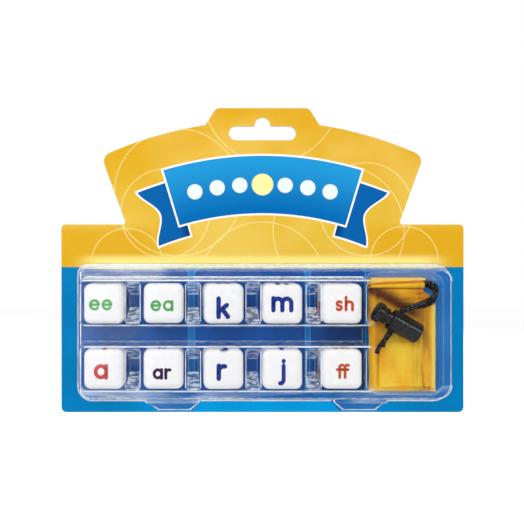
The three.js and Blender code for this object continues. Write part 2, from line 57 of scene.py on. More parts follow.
# Camera: level, a little left of the pack's middle, shifted to the photograph's frame
SENSOR_MM = 36
VIEW_DISTANCE = 0.32
VIEW_WIDTH = 0.2476
CAMERA_ACROSS = -0.0293
CAMERA_UP = 0.0695
SHIFT_ACROSS = 0.1174
SHIFT_UP = 0.0064

# Floor and studio
FLOOR_DROP = 0.06
FLOOR_SIZE = 12.0
NEAR_GLOW = 0.56
FAR_GLOW = 0.7
SKY_LIGHT = 0.46
CAMERA_SIDE_LIGHT = 0.2

# Drawcord pair: across, up, depth and the turn in degrees of one strand round the other
CORD_DIAMETER = 0.0022
CORD_GAP = 0.0003
CORD_ROUTE = [
    (0.0744, 0.0614, 0.0049, -47),
    (0.07567, 0.06129, 0.00502, -46),
    (0.07685, 0.06095, 0.00538, -43),
    (0.07786, 0.06042, 0.00594, -37),
    (0.07864, 0.05972, 0.00668, -28),
    (0.07912, 0.05889, 0.00756, -16),
    (0.07926, 0.05795, 0.00858, -2),
    (0.07906, 0.05694, 0.0097, 14),
    (0.07849, 0.05585, 0.01084, 30),
    (0.0775, 0.05472, 0.01187, 42),
    (0.0761, 0.0536, 0.0127, 50),
    (0.0744, 0.0527, 0.0132, 50),
    (0.0723, 0.0519, 0.0136, 42),
    (0.0702, 0.05135, 0.01385, 30),
    (0.0682, 0.0509, 0.01405, 16),
    (0.0663, 0.05045, 0.01415, 5),
    (0.06455, 0.04995, 0.01415, 0),
    (0.06325, 0.04938, 0.01415, 0),
    (0.0622, 0.04848, 0.01415, 0),
    (0.0613, 0.0472, 0.01415, 0),
    (0.0604, 0.0457, 0.01415, 0),
    (0.0594, 0.0439, 0.01415, 0),
    (0.0581, 0.0416, 0.01415, 0),
    (0.0571, 0.0398, 0.01415, 0),
    (0.0561, 0.0382, 0.0141, 2),
    (0.0551, 0.0368, 0.014, 8),
    (0.0542, 0.0354, 0.0139, 18),
    (0.0534, 0.0339, 0.0136, 32),
    (0.0528, 0.0324, 0.0133, 48),
    (0.0524, 0.0309, 0.013, 60),
    (0.0521, 0.0293, 0.0128, 66),
]
SHORT_TAIL_POINTS = 2
BRAID_PLAITS = 4
BRAID_PITCH = 0.0064
BRAID_RELIEF = 0.00022
CREST_MARK = "crest_mark"

# Cord lock: its middle, the slope of its axis and the sizes of its pieces
LOCK_MIDDLE = (0.0594, 0.0439, 0.01415)
LOCK_TILT_DEGREES = 60.9
BARREL_RADIUS = 0.0049
BARREL_BORE = 0.004
BARREL_RIM = 0.0028
BARREL_TAIL = 0.0118
BARREL_FLOOR = 0.0012
BARREL_ROUND = 0.0013
PLUNGER_RADIUS = 0.0038
PLUNGER_TRAVEL = 0.0035
PLUNGER_FOOT = 0.00355
PLUNGER_TOP = 0.0107
HEAD_RADIUS = 0.0046
HEAD_HEIGHT = 0.0031
HEAD_ROUND = 0.0009
NECK_GROOVE_DEPTH = 0.0005
NECK_GROOVE_WIDTH = 0.0005
SPRING_RADIUS = 0.0027
SPRING_WIRE = 0.0006
SPRING_TURNS = 4

# Dice
DIE_SIZE = 0.018
DIE_ROUND = 0.0031

# Blister
FLANGE_WIDTH = 0.0042
LUG_REACH = 0.0042
WINDOW_CLEARANCE = 0.0003
TRAY_DEPTH = 0.009
TRAY_DRAFT = 0.0024
TRAY_CORNERS = (0.009, 0.008, 0.0046, 0.007)
TRAY_ROUND = 0.0013
RIDGE_HALF = 0.0103
RIDGE_DRAFT = 0.0008
RIDGE_CORNER = 0.002
RIDGE_ROUND = 0.0009
FOOT_ROUND = 0.0008
HOLLOW_UPPER_SLOPE = 0.0066
HOLLOW_LOWER_SLOPE = 0.0074
HOLLOW_DRAFT = 0.0005
CREST_WIDTH = 0.0013
BAG_POCKET = (0.0475, 0.0776, 0.0121, 0.0639)
BAG_POCKET_DRAFT = 0.0022
BAG_POCKET_RIGHT_DRAFT = 0.0042
BAG_POCKET_CORNER = 0.004
LUG_OFFSETS = {-1: 0.0416, 1: 0.0449}
LUG_DEPTH = 0.0034
LUG_FOOT_HALF_WIDTH = 0.0082
LUG_INNER_HALF_WIDTH = 0.0124
LUG_FLARE = 0.0142
CORNER_STEPS = 8
ROUND_STEPS = 5
# Marks on the film's faces: how far an edge carries a painted highlight line of white haze,
# and how much a slope shows, with haze that is partly painted reflection. A face is slanted
# where its normal's depth lies between the two edge turns.
EDGE_HIGHLIGHT_MARK = "painted_edge_highlight"
SLOPE_MARK = "slope_mark"
EDGE_WIDTH = 0.0004
EDGE_TURNS = (0.15, 0.985)
HOLLOW_EDGE_SHARE = 0.14
HOLLOW_EDGE_LENGTH = 0.016
POCKET_EDGE_SHARE = 0.16
POCKET_SLOPE_SHARE = 0.12
OUTER_SLOPE_SHARE = 0.12
TOP_WALL_SHARE = 0.5
GROOVE_SLOPE_SHARE = 0.3
GROOVE_EDGE_SHARE = 0.2
TOP_EDGE_SHARE = 0.25
FOOT_LINE_WIDTH = 0.00045
FOOT_LINE_RISE = 0.0002

# Bag
BAG_LAYERS = 8
BAG_CORNER = 0.0034
BAG_CORD_CORNER = 0.009
BAG_TOP_TUCK = 0.0004
WRINKLE_DEPTH = 0.00045
DENT_SLOPE = 0.3
# Creases over the bag: a share of its height, a slope and a width
BAG_CREASES = [
    (0.1, 0.03, 0.0006),
    (0.3, -0.25, 0.0007),
    (0.46, 0.35, 0.0006),
    (0.86, 0.1, 0.0005),
]
# Pleats along the bag: a share of its width, a width and a depth against a crease's
BAG_PLEATS = [(0.86, 0.0006, 1.6), (0.915, 0.0004, 2.2), (0.76, 0.0008, 0.8)]


def place(across, up, depth):
    return Vector((across, -depth, up - SLOT_TOP))


def layout_box(node):
    """A CAD node's lowest and highest corners in the layout."""
    low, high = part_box(node)
    return (
        Vector((low.x, low.z + SLOT_TOP, -high.y)),
        Vector((high.x, high.z + SLOT_TOP, -low.y)),
    )


BACK_LAYER_DEPTH = layout_box("card_back")[1].z
FACE_DEPTH = layout_box("card_front")[1].z
SHELL_LOW, SHELL_HIGH = layout_box("blister_shell")
TRAY_LEFT = SHELL_LOW.x + FLANGE_WIDTH
TRAY_RIGHT = SHELL_HIGH.x - FLANGE_WIDTH
TRAY_TOP = SHELL_HIGH.y - FLANGE_WIDTH
TRAY_BOTTOM = SHELL_LOW.y + WINDOW_CLEARANCE + LUG_REACH
TRAY_FRONT = FACE_DEPTH + TRAY_DEPTH
RIDGE_FRONT = SHELL_HIGH.z
BAG_LOW, BAG_HIGH = layout_box("bag_body")
HEM_LOW, HEM_HIGH = layout_box("bag_hem")


def die_middle(name):
    low, high = layout_box("die_" + name)
    return (low + high) / 2


# Materials

# The spread of a noise's values, and the blur of a printed form's outline
GRAIN_SPREAD = (0.3, 0.7)
OUTLINE_BLUR = 0.00012
SMOOTH_RELIEF = 0.00002


def tint(red, green, blue):
    """A linear colour from display values of 0 to 255."""

    def linear(value):
        share = value / 255
        return share / 12.92 if share <= 0.04045 else ((share + 0.055) / 1.055) ** 2.4

    return (linear(red), linear(green), linear(blue), 1)


class Field:
    """A value over a surface, such as a height or a colour. A sum of fields is a field."""

    def __init__(self, shader, socket):
        self.shader = shader
        self.socket = socket

    def math(self, operation, *others):
        inputs = dict(enumerate((self, *others)))
        return self.shader.add("Math", inputs, operation=operation)

    def __add__(self, other):
        return self.math("ADD", other)

    def __sub__(self, other):
        return self.math("SUBTRACT", other)

    def __rsub__(self, other):
        return self.shader.add("Math", {0: other, 1: self}, operation="SUBTRACT")

    def __mul__(self, other):
        return self.math("MULTIPLY", other)

    def __abs__(self):
        return self.math("ABSOLUTE")

    def ramp(self, start, end, low=0.0, high=1.0, kind="SMOOTHSTEP"):
        """Rises from low at start to high at end."""
        inputs = {"Value": self, "From Min": start, "From Max": end, "To Min": low, "To Max": high}
        return self.shader.add("MapRange", inputs, interpolation_type=kind)

    def inside(self):
        """1 where a signed distance is below zero."""
        return self.ramp(OUTLINE_BLUR, -OUTLINE_BLUR)

    def mix(self, first, second):
        """The first colour where the field is 0 and the second where it is 1."""
        return self.shader.add("Mix", {0: self, 6: first, 7: second}, 2, data_type="RGBA")


class Shader:
    """The nodes of a material or a world. An input is a plain value or a field."""

    def __init__(self, owner, surface="Principled BSDF"):
        self.owner = owner
        owner.use_nodes = True
        self.nodes = owner.node_tree.nodes
        self.links = owner.node_tree.links
        self.surface = self.nodes[surface]

    def feed(self, socket, value):
        if isinstance(value, Field):
            self.links.new(value.socket, socket)
        else:
            socket.default_value = value

    def node(self, kind, inputs, settings):
        node = self.nodes.new("ShaderNode" + kind)
        for key, value in settings.items():
            setattr(node, key, value)
        for key, value in inputs.items():
            self.feed(node.inputs[key], value)
        return node

    def add(self, kind, inputs=None, output=0, **settings):
        """Adds a node and gives one of its outputs."""
        return Field(self, self.node(kind, inputs or {}, settings).outputs[output])

    def axes(self, vector):
        return [Field(self, axis) for axis in self.node("SeparateXYZ", {0: vector}, {}).outputs]

    def mark(self, name):
        return self.add("Attribute", output="Fac", attribute_name=name)

    def layout(self):
        """The surface point's across, up and depth."""
        x, y, z = self.axes(self.add("TexCoord", output="Object"))
        return x, z + SLOT_TOP, y * -1.0

    def clouds(self, scale, detail=3, stretch=(1, 1, 1)):
        point = self.add("TexCoord", output="Object")
        mapped = self.add("Mapping", {"Vector": point, "Scale": stretch})
        return self.add("TexNoise", {"Vector": mapped, "Scale": scale, "Detail": detail}, "Fac")

    def bump(self, height, distance, strength=1):
        return self.add("Bump", {"Height": height, "Distance": distance, "Strength": strength})

    def finish(self, inputs):
        for key, value in inputs.items():
            self.feed(self.surface.inputs[key], value)
        return self.owner

    def finish_grained(self, colour, grain, roughness, others):
        """Ends a material whose grain also varies its roughness between two values."""
        rough = grain.ramp(*GRAIN_SPREAD, *roughness)
        return self.finish({"Base Color": colour, "Roughness": rough, **others})

    def finish_in(self, surface):
        """Ends a material in a surface of its own."""
        self.nodes.remove(self.surface)
        self.feed(self.nodes["Material Output"].inputs["Surface"], surface)
        return self.owner


def new_material(name):
    return Shader(bpy.data.materials.new(name))


def length(across, up):
    return (across * across + up * up).math("SQRT")


def largest(first, *others):
    for other in others:
        first = first.math("MAXIMUM", other)
    return first


def box_distance(across, up, box, corner):
    """Signed distance from a rounded rectangle (left, right, bottom, top)."""
    left, right, bottom, top = box
    sides = []
    for value, low, high in ((across, left, right), (up, bottom, top)):
        sides.append(abs(value - (low + high) / 2) - ((high - low) / 2 - corner))
    outer = length(*[largest(side, 0.0) for side in sides])
    inner = largest(*sides).math("MINIMUM", 0.0)
    return outer + inner - corner


# The print's ground: where its parts start and end, and their shares
PRINT_SPLIT = 0.0687
BACK_SPLIT = PRINT_SPLIT + 0.014
SPLIT_BLUR = 0.0001
PRINT_GLOSS = 0.04
PRINT_GRAIN = 900
FRONT_ROUGHNESS = (0.3, 0.42)
BACK_ROUGHNESS = (0.34, 0.46)
BOARD_WHITE = tint(238, 236, 230)
BOARD_SKIN = (0.00001, 0.00004)
BORDER_BLUE = tint(0, 124, 186)
BORDER_BRIGHT_BLUE = tint(0, 156, 224)
BORDER_ACROSS = (0.02, 0.085)
HEADER_GOLD = tint(228, 186, 62)
HEADER_DEEP_GOLD = tint(222, 166, 8)
HEADER_PALE_GOLD = tint(242, 208, 106)
GOLD_RISE = (0.085, 0.138)
GOLD_CLOUD = (0.35, 0.68, 0, 0.5)
WING_ACROSS = (0.036, 0.062, 0, 0.8)
WING_UP = (0.092, 0.084)
BAND_PALE = tint(255, 244, 180)
GLOW_PALE = tint(250, 231, 134)
GLOW_UP = (PRINT_SPLIT + 0.007, PRINT_SPLIT + 0.003)
GLOW_ACROSS = (0.092, 0.074)
ARC_LINE = (0.00032, 0.00005, 0, 0.6)
HEADER_ARCS = [
    ((-0.046, 0.094), 0.021),
    ((-0.040, 0.104), 0.030),
    ((-0.064, 0.070), 0.017),
    ((0.049, 0.096), 0.022),
    ((0.036, 0.086), 0.031),
    ((0.067, 0.072), 0.016),
    ((0.0, 0.060), 0.030),
    ((0.004, 0.150), 0.032),
]

# The header's ribbon, on circles round the crown's middle
CROWN_MIDDLE_UP = -0.0423
RIBBON_RADIUS = 0.150
RIBBON_HALF_HEIGHT = 0.0145
RIBBON_HALF_ANGLE = math.radians(17)
RIBBON_BLUES = (tint(0, 106, 178), tint(34, 152, 214))
RIBBON_OUTLINE = tint(250, 250, 246)
TAIL_DROP = 0.006
TAIL_START = math.radians(14.8)
TAIL_END = math.radians(22.4)
TAIL_NOTCH = math.radians(2.6)
TAIL_BLUES = (tint(0, 52, 110), tint(6, 96, 168))
DOT_COUNT = 7
DOT_PITCH = math.radians(4.1)
DOT_RADIUS = 0.0036
DOT_PALE = tint(232, 243, 250)
MIDDLE_DOT_RADIUS = 0.0051
MIDDLE_DOT_PALE = tint(250, 240, 164)
# Forty pitches keep the turn above zero, and half of one puts a dot in the middle
DOT_SHIFT = 40.5 * DOT_PITCH
OUTLINE_WIDTH = 0.0009


def header_ground(shader, across, up):
    """Gold with soft clouds, thin pale arcs and a pale band over the blister."""
    wide = abs(across)
    gold = up.ramp(*GOLD_RISE).mix(HEADER_GOLD, HEADER_DEEP_GOLD)
    gold = shader.clouds(scale=26, detail=2).ramp(*GOLD_CLOUD).mix(gold, HEADER_PALE_GOLD)
    gold = (wide.ramp(*WING_ACROSS) * up.ramp(*WING_UP)).mix(gold, HEADER_DEEP_GOLD)
    for (middle, height), radius in HEADER_ARCS:
        ring = abs(length(across - middle, up - height) - radius)
        gold = ring.ramp(*ARC_LINE).mix(gold, BAND_PALE)
    return (up.ramp(*GLOW_UP) * wide.ramp(*GLOW_ACROSS)).mix(gold, GLOW_PALE)


def outlined_form(distance, colour, ground):
    """A flat printed form with a pale outline."""
    outlined = distance.inside().mix(ground, RIBBON_OUTLINE)
    return (distance + OUTLINE_WIDTH).inside().mix(outlined, colour)


def header_ribbon(across, up, ground):
    """A blue ribbon with folded tails and a row of pale dots."""
    rise = up - CROWN_MIDDLE_UP
    angle = across.math("ARCTAN2", rise)
    wide = abs(angle)
    offset = length(across, rise) - RIBBON_RADIUS

    dropped = abs(offset + TAIL_DROP)
    notch = dropped.ramp(RIBBON_HALF_HEIGHT, 0.0, 0.0, TAIL_NOTCH)
    outer = (wide - (TAIL_END - notch)) * RIBBON_RADIUS
    inner = (TAIL_START - wide) * RIBBON_RADIUS
    distance = largest(dropped - RIBBON_HALF_HEIGHT, outer, inner)
    tail = wide.ramp(TAIL_START, TAIL_START + TAIL_NOTCH).mix(*TAIL_BLUES)
    ground = outlined_form(distance, tail, ground)

    side = (wide - RIBBON_HALF_ANGLE) * RIBBON_RADIUS
    distance = largest(abs(offset) - RIBBON_HALF_HEIGHT, side)
    ribbon = offset.ramp(-RIBBON_HALF_HEIGHT, RIBBON_HALF_HEIGHT).mix(*RIBBON_BLUES)
    ground = outlined_form(distance, ribbon, ground)

    turned = (angle + DOT_SHIFT).math("MODULO", DOT_PITCH)
    along = (turned - DOT_PITCH / 2) * RIBBON_RADIUS
    middle = wide.math("LESS_THAN", DOT_PITCH / 2)
    radius = middle.ramp(0.0, 1.0, DOT_RADIUS, MIDDLE_DOT_RADIUS)
    in_row = wide.math("LESS_THAN", DOT_COUNT / 2 * DOT_PITCH)
    dots = (length(along, offset) - radius).inside() * in_row
    return dots.mix(ground, middle.mix(DOT_PALE, MIDDLE_DOT_PALE))


def paper_edge(depth, front, colour):
    """Print on the front face only, and bare white board round it."""
    thin, thick = BOARD_SKIN
    return depth.ramp(front - thick, front - thin).mix(BOARD_WHITE, colour)


def finish_print(shader, colour, roughness):
    grain = shader.clouds(PRINT_GRAIN, detail=2)
    normal = shader.bump(grain, SMOOTH_RELIEF)
    others = {"Specular IOR Level": PRINT_GLOSS, "Normal": normal}
    return shader.finish_grained(colour, grain, roughness, others)


def front_print():
    shader = new_material("front_print")
    across, up, depth = shader.layout()
    header = header_ribbon(across, up, header_ground(shader, across, up))
    border = abs(across).ramp(*BORDER_ACROSS).mix(BORDER_BRIGHT_BLUE, BORDER_BLUE)
    printed = up.ramp(PRINT_SPLIT - SPLIT_BLUR, PRINT_SPLIT + SPLIT_BLUR).mix(border, header)
    return finish_print(shader, paper_edge(depth, FACE_DEPTH, printed), FRONT_ROUGHNESS)


# The back layer's two faces: the inner one shows through the window
INNER_BLUE = tint(24, 106, 182)
INNER_PALE_BLUE = tint(62, 146, 214)
INNER_CLOUD = (0.35, 0.7, 0, 0.35)
PANEL_BLUE = tint(26, 80, 156)
PANEL_LOW_BLUE = tint(30, 92, 170)
PANEL_PAINTED_SHADE = tint(18, 56, 116)
PANEL_RISE = (0.0, 0.07)
PANEL_RIM = (0.0011, 0.0002, 0, 0.6)
PANEL_CORNER = 0.0028
PANEL_LOW = 0.009
PANEL_TOP = 0.0678
PANEL_SIDES = [(-0.087, -0.0353), (-0.0318, 0.0201), (0.0229, 0.0484)]
# Painted shade: the panels darken to the right, below their upper edge
PANEL_SHADE_ACROSS = (0.012, 0.036, 0, 0.85)
PANEL_SHADE_UP = (0.056, 0.063, 1, 0)
WINDOW_SPLIT = (0.0683, 0.0686)
BACK_PANEL = (-0.07, 0.07, 0.014, 0.076)
BACK_PANEL_PALE = tint(236, 242, 247)


def inner_print(shader, across, up):
    """Blue with three deeper panels behind the dice, darkened on their right by painted shade."""
    cloud = shader.clouds(scale=18, detail=2).ramp(*INNER_CLOUD)
    blue = cloud.mix(INNER_BLUE, INNER_PALE_BLUE)
    deep = up.ramp(*PANEL_RISE).mix(PANEL_LOW_BLUE, PANEL_BLUE)
    # Painted shade on the panels' right, below their upper edge
    deep = (across.ramp(*PANEL_SHADE_ACROSS) * up.ramp(*PANEL_SHADE_UP)).mix(deep, PANEL_PAINTED_SHADE)
    for left, right in PANEL_SIDES:
        distance = box_distance(across, up, (left, right, PANEL_LOW, PANEL_TOP), PANEL_CORNER)
        blue = abs(distance).ramp(*PANEL_RIM).mix(blue, INNER_PALE_BLUE)
        blue = distance.inside().mix(blue, deep)
    return up.ramp(*WINDOW_SPLIT).mix(blue, BAND_PALE)


def back_face_print(shader, across, up):
    """Gold over blue, with a bare pale panel."""
    gold = header_ground(shader, across, up)
    face = up.ramp(BACK_SPLIT - SPLIT_BLUR, BACK_SPLIT + SPLIT_BLUR).mix(BORDER_BLUE, gold)
    distance = box_distance(across, up, BACK_PANEL, 2 * PANEL_CORNER)
    return outlined_form(distance, BACK_PANEL_PALE, face)


def back_print():
    shader = new_material("back_print")
    across, up, depth = shader.layout()
    front = paper_edge(depth, BACK_LAYER_DEPTH, inner_print(shader, across, up))
    printed = depth.ramp(*BOARD_SKIN).mix(back_face_print(shader, across, up), front)
    return finish_print(shader, printed, BACK_ROUGHNESS)


# The film: its colours, and how its haze and gloss change over the tray and with its slope;
# part of the haze is painted reflection and painted highlight
FILM_CLEAR = (0.97, 0.98, 0.99, 1)
FILM_HAZE = (0.86, 0.94, 1.0, 1)
FILM_ROUGHNESS = 0.05
RIPPLE_HEIGHT = 0.0006
RIPPLE_STRENGTH = 0.22
STREAK_SPREAD = (0.36, 0.66)
LEFT_REFLECTION_HAZE = (-0.03, -0.085, 0, 0.09)
LOW_HAZE = (0.015, 0.0125, 0, 0.42)
LOW_HAZE_FOOT = (0.0046, 0.0054)
# Painted reflection as haze on the tray's upper left: where it starts and ends, and how much it
# hazes
CLOUD_FOOT = (0.0612, 0.063)
REFLECTION_LEFT = (-0.087, -0.068, 0.35, 1)
REFLECTION_RIGHT = (-0.05, -0.042, 1, 0)
UPPER_LEFT_REFLECTION = (0, 1, 0.2, 0.5)
TOP_STRIP_HAZE = 0.1
MOTTLE_SPREAD = (0.4, 0.62, 0.1, 2.2)
SLOPE_REFLECTION_HAZE = (0.2, 0.75, 0, 0.26)
EDGE_BREAKS = (0.35, 0.65, 0.6, 1)
EDGE_HIGHLIGHT_HAZE = 0.8
SLOPE_GLOSS = (0.1, 0.8, 0, 0.18)
SIDE_GLOSS = (0.3, 0.95, 0.014, 0.094)


def film_haze(shader, slope, open_wall):
    """How hazy the film is: clouds on the tray, painted reflection on its left and upper left,
    mottled slopes that are partly painted reflection, and broken white edges as painted
    highlight lines.
    """
    across, up, _ = shader.layout()
    streaks = shader.clouds(scale=150, detail=4, stretch=(0.2, 1, 1)).ramp(*STREAK_SPREAD)
    # Painted reflection as streaky haze on the tray's left and upper left
    left = streaks * across.ramp(*LEFT_REFLECTION_HAZE)
    low = streaks * up.ramp(*LOW_HAZE) * up.ramp(*LOW_HAZE_FOOT)
    high = streaks.ramp(*UPPER_LEFT_REFLECTION) * up.ramp(*CLOUD_FOOT)
    high = high * across.ramp(*REFLECTION_LEFT) * across.ramp(*REFLECTION_RIGHT)
    strip = streaks * up.ramp(*CLOUD_FOOT, 0, TOP_STRIP_HAZE)
    mottled = shader.clouds(scale=700, stretch=(0.5, 1, 1)).ramp(*MOTTLE_SPREAD)
    # Mottled haze on the slopes: the film's own haze and painted reflection
    wall = slope.ramp(*SLOPE_REFLECTION_HAZE) * mottled * open_wall
    # Painted highlight lines: broken white haze on the molded edges
    broken = shader.clouds(scale=160, detail=2).ramp(*EDGE_BREAKS)
    rim = shader.mark(EDGE_HIGHLIGHT_MARK) * broken * EDGE_HIGHLIGHT_HAZE
    return left + low + high + strip + wall + rim


def clear_film():
    """Thin clear film: see-through, brighter on its slopes, partly by painted reflection, and
    with painted highlight lines of white haze on its molded edges.
    """
    shader = new_material("clear_film")
    waves = shader.clouds(scale=70, stretch=(0.3, 1, 1.6))
    ripple = shader.bump(waves, RIPPLE_HEIGHT, RIPPLE_STRENGTH)
    slope = abs(shader.axes(ripple)[2])
    facing = shader.add("LayerWeight", {"Blend": 0.5, "Normal": ripple}, "Facing")
    open_wall = shader.mark(SLOPE_MARK)
    clear = shader.add("BsdfTransparent", {"Color": FILM_CLEAR})
    haze = shader.add("BsdfDiffuse", {"Color": FILM_HAZE})
    gloss = shader.add("BsdfGlossy", {"Roughness": FILM_ROUGHNESS, "Normal": ripple})
    film = shader.add("MixShader", {0: film_haze(shader, slope, open_wall), 1: clear, 2: haze})
    share = slope.ramp(*SLOPE_GLOSS) * open_wall + facing.ramp(*SIDE_GLOSS)
    return shader.finish_in(shader.add("MixShader", {0: share, 1: film, 2: gloss}))


# Plastics and steel: their two shades and their roughness
DIE_WHITES = (tint(238, 237, 238), tint(245, 244, 245))
DIE_ROUGHNESS = (0.2, 0.28)
INK_WEAR = (0.3, 0.75, 0, 0.03)
INK_WORN = tint(250, 250, 250)
INK_ROUGHNESS = (0.3, 0.42)
LOCK_BLACKS = (tint(6, 4, 5), tint(14, 11, 13))
LOCK_ROUGHNESS = (0.22, 0.32)
STEEL_GREYS = (tint(168, 170, 174), tint(206, 208, 211))
STEEL_ROUGHNESS = (0.25, 0.4)


def die_plastic():
    shader = new_material("die_plastic")
    cloud = shader.clouds(scale=220, detail=2)
    others = {
        "Subsurface Weight": 0.2,
        "Subsurface Radius": (1.0, 0.9, 0.85),
        "Subsurface Scale": 0.0012,
        "Normal": shader.bump(cloud, SMOOTH_RELIEF),
    }
    return shader.finish_grained(cloud.mix(*DIE_WHITES), cloud, DIE_ROUGHNESS, others)


def ink(name, colour):
    shader = new_material("ink_" + name)
    cloud = shader.clouds(scale=1600, detail=2)
    worn = cloud.ramp(*INK_WEAR).mix(colour, INK_WORN)
    return shader.finish_grained(worn, cloud, INK_ROUGHNESS, {"Specular IOR Level": 0.1})


def lock_plastic():
    shader = new_material("lock_plastic")
    grain = shader.clouds(scale=1500)
    others = {"Specular IOR Level": 0.42, "Normal": shader.bump(grain, SMOOTH_RELIEF)}
    return shader.finish_grained(grain.mix(*LOCK_BLACKS), grain, LOCK_ROUGHNESS, others)


def spring_steel():
    shader = new_material("spring_steel")
    drawn = shader.clouds(scale=3000, detail=2)
    return shader.finish_grained(drawn.mix(*STEEL_GREYS), drawn, STEEL_ROUGHNESS, {"Metallic": 1})


# Cloth: pairs of shades from the creases' painted shade to their light, and where they lie.
# The pair towards the mouth is darker, as painted shade there.
THREAD_PITCH = 0.00045
CREASE_SPREAD = (0.3, 0.72)
LOW_CLOTH = (tint(250, 172, 4), tint(255, 214, 52))
MOUTH_SHADED_CLOTH = (tint(242, 152, 4), tint(255, 188, 24))
HEM_CLOTH = (tint(255, 178, 4), tint(255, 216, 48))
MOUTH_SHADE_UP = (0.044, 0.058)
HEM_UP = (0.0586, 0.0592)
PLEAT_SPREAD = (0.4, 0.66, 0.25, 1)
PLEAT_ACROSS = (0.064, 0.074, 0, 0.75)
PLEAT_SHADE = tint(168, 108, 16)
RIM_ACROSS = (0.0762, 0.0776, 0, 0.8)
RIM_LIGHT = tint(255, 222, 96)
# Painted shade above the cord lock runs along a sloping line under the hem
TUCK_SLOPE = 0.55
TUCK_WAVER = 0.004
TUCK_START = (0.0832, 0.0872)
TUCK_END = (0.0955, 0.0885)
TUCK_ACROSS = (0.079, 0.066)
PAINTED_LOCK_SHADE = tint(96, 38, 4)
CLOTH_ROUGHNESS = (0.42, 0.58)
CLOTH_RELIEF = 0.00006
CREASE_RELIEF = 6
# Braid: its threads' tone with light flecks as painted glints, and painted shade in the gaps
# between its plaits
BRAID_THREADS_AND_GLINTS = (tint(18, 18, 21), tint(150, 150, 160))
BRAID_GAP_SHADE = tint(3, 3, 4)
BRAID_CREST = (0.95, 1)
BRAID_FIBRES = (0.46, 0.6)
BRAID_ROUGHNESS = (0.5, 0.7)
FIBRE_RELIEF = 0.00008


def bag_cloth():
    """Thin glossy woven cloth, darker towards the mouth by painted shade, with painted shade
    in its creases, along its pleats and above the cord lock, and a painted highlight along
    its right edge.
    """
    shader = new_material("bag_cloth")
    across, up, _ = shader.layout()
    weave = [(value * (2 * math.pi / THREAD_PITCH)).math("SINE") for value in (across, up)]
    crease = shader.clouds(scale=120, detail=5, stretch=(1, 1, 0.45))
    light = crease.ramp(*CREASE_SPREAD)
    # Painted shade: darker in the creases, and darker towards the mouth
    colour = up.ramp(*MOUTH_SHADE_UP).mix(light.mix(*LOW_CLOTH), light.mix(*MOUTH_SHADED_CLOTH))
    # Painted shade in streaks along the pleats on the right
    streak = shader.clouds(scale=620, stretch=(1, 1, 0.1)).ramp(*PLEAT_SPREAD)
    colour = (streak * across.ramp(*PLEAT_ACROSS)).mix(colour, PLEAT_SHADE)
    # Painted highlight along the right edge
    colour = across.ramp(*RIM_ACROSS).mix(colour, RIM_LIGHT)
    # Painted shade above the cord lock
    above = up + across * TUCK_SLOPE + crease * TUCK_WAVER
    lock_shade_mask = above.ramp(*TUCK_START) * above.ramp(*TUCK_END) * across.ramp(*TUCK_ACROSS)
    colour = lock_shade_mask.mix(colour, PAINTED_LOCK_SHADE)
    colour = up.ramp(*HEM_UP).mix(colour, crease.mix(*HEM_CLOTH))
    height = crease * CREASE_RELIEF + weave[0] * weave[1]
    others = {
        "Specular IOR Level": 0.25,
        "Sheen Weight": 0.06,
        "Normal": shader.bump(height, CLOTH_RELIEF),
    }
    return shader.finish_grained(colour, crease, CLOTH_ROUGHNESS, others)


def cord_braid():
    shader = new_material("cord_braid")
    fibre = shader.clouds(scale=1300, detail=2)
    # Thread tone, with light flecks as painted glints
    thread = fibre.ramp(*BRAID_FIBRES).mix(*BRAID_THREADS_AND_GLINTS)
    # Painted shade in the gaps between the plaits
    colour = shader.mark(CREST_MARK).ramp(*BRAID_CREST).mix(BRAID_GAP_SHADE, thread)
    others = {"Specular IOR Level": 0.1, "Normal": shader.bump(fibre, FIBRE_RELIEF)}
    return shader.finish_grained(colour, fibre, BRAID_ROUGHNESS, others)


# Meshes

SHARP_ANGLE = math.radians(36)


def add_object(name, data):
    thing = bpy.data.objects.new(name, data)
    bpy.context.scene.collection.objects.link(thing)
    return thing


def add_piece(name, points, faces, material, smooth=True):
    """A mesh piece from layout points."""
    mesh = bpy.data.meshes.new(name)
    mesh.from_pydata([place(*point) for point in points], [], faces)
    mesh.materials.append(material)
    mesh.polygons.foreach_set("use_smooth", [smooth] * len(faces))
    return add_object(name, mesh)


def grid_faces(rows, columns, closed=False):
    """Quads of a grid; closed joins the last column to the first."""
    faces = []
    for row in range(rows - 1):
        for column in range(columns if closed else columns - 1):
            first = row * columns + column
            second = row * columns + (column + 1) % columns
            faces.append((first, second, second + columns, first + columns))
    return faces


def solid_faces(rings, count):
    """Faces of a closed solid through rings of points: its wall and its two ends."""
    last = (rings - 1) * count
    ends = [tuple(reversed(range(count))), tuple(range(last, last + count))]
    return grid_faces(rings, count, closed=True) + ends


def moved_faces(faces, first):
    """The same faces for points that start at another index."""
    return [tuple(first + index for index in face) for face in faces]


def heading(path, index):
    """A path's direction at one of its points."""
    before = path[max(index - 1, 0)]
    after = path[min(index + 1, len(path) - 1)]
    return (after - before).normalized()


def mark(piece, name, domain, values):
    """Gives a piece's faces or points a value that its material reads."""
    piece.data.attributes.new(name, "FLOAT", domain).data.foreach_set("value", values)


def reshape(piece, change):
    """Lets a function change a piece's mesh."""
    shape = bmesh.new()
    shape.from_mesh(piece.data)
    change(shape)
    shape.to_mesh(piece.data)
    shape.free()


def soften(piece):
    """Smooth shading that keeps sharp edges."""

    def shade(shape):
        bmesh.ops.recalc_face_normals(shape, faces=shape.faces)
        for face in shape.faces:
            face.smooth = True
        for edge in shape.edges:
            edge.smooth = len(edge.link_faces) == 2 and edge.calc_face_angle() < SHARP_ANGLE

    reshape(piece, shade)
    piece.modifiers.new("weighted", "WEIGHTED_NORMAL").keep_sharp = True


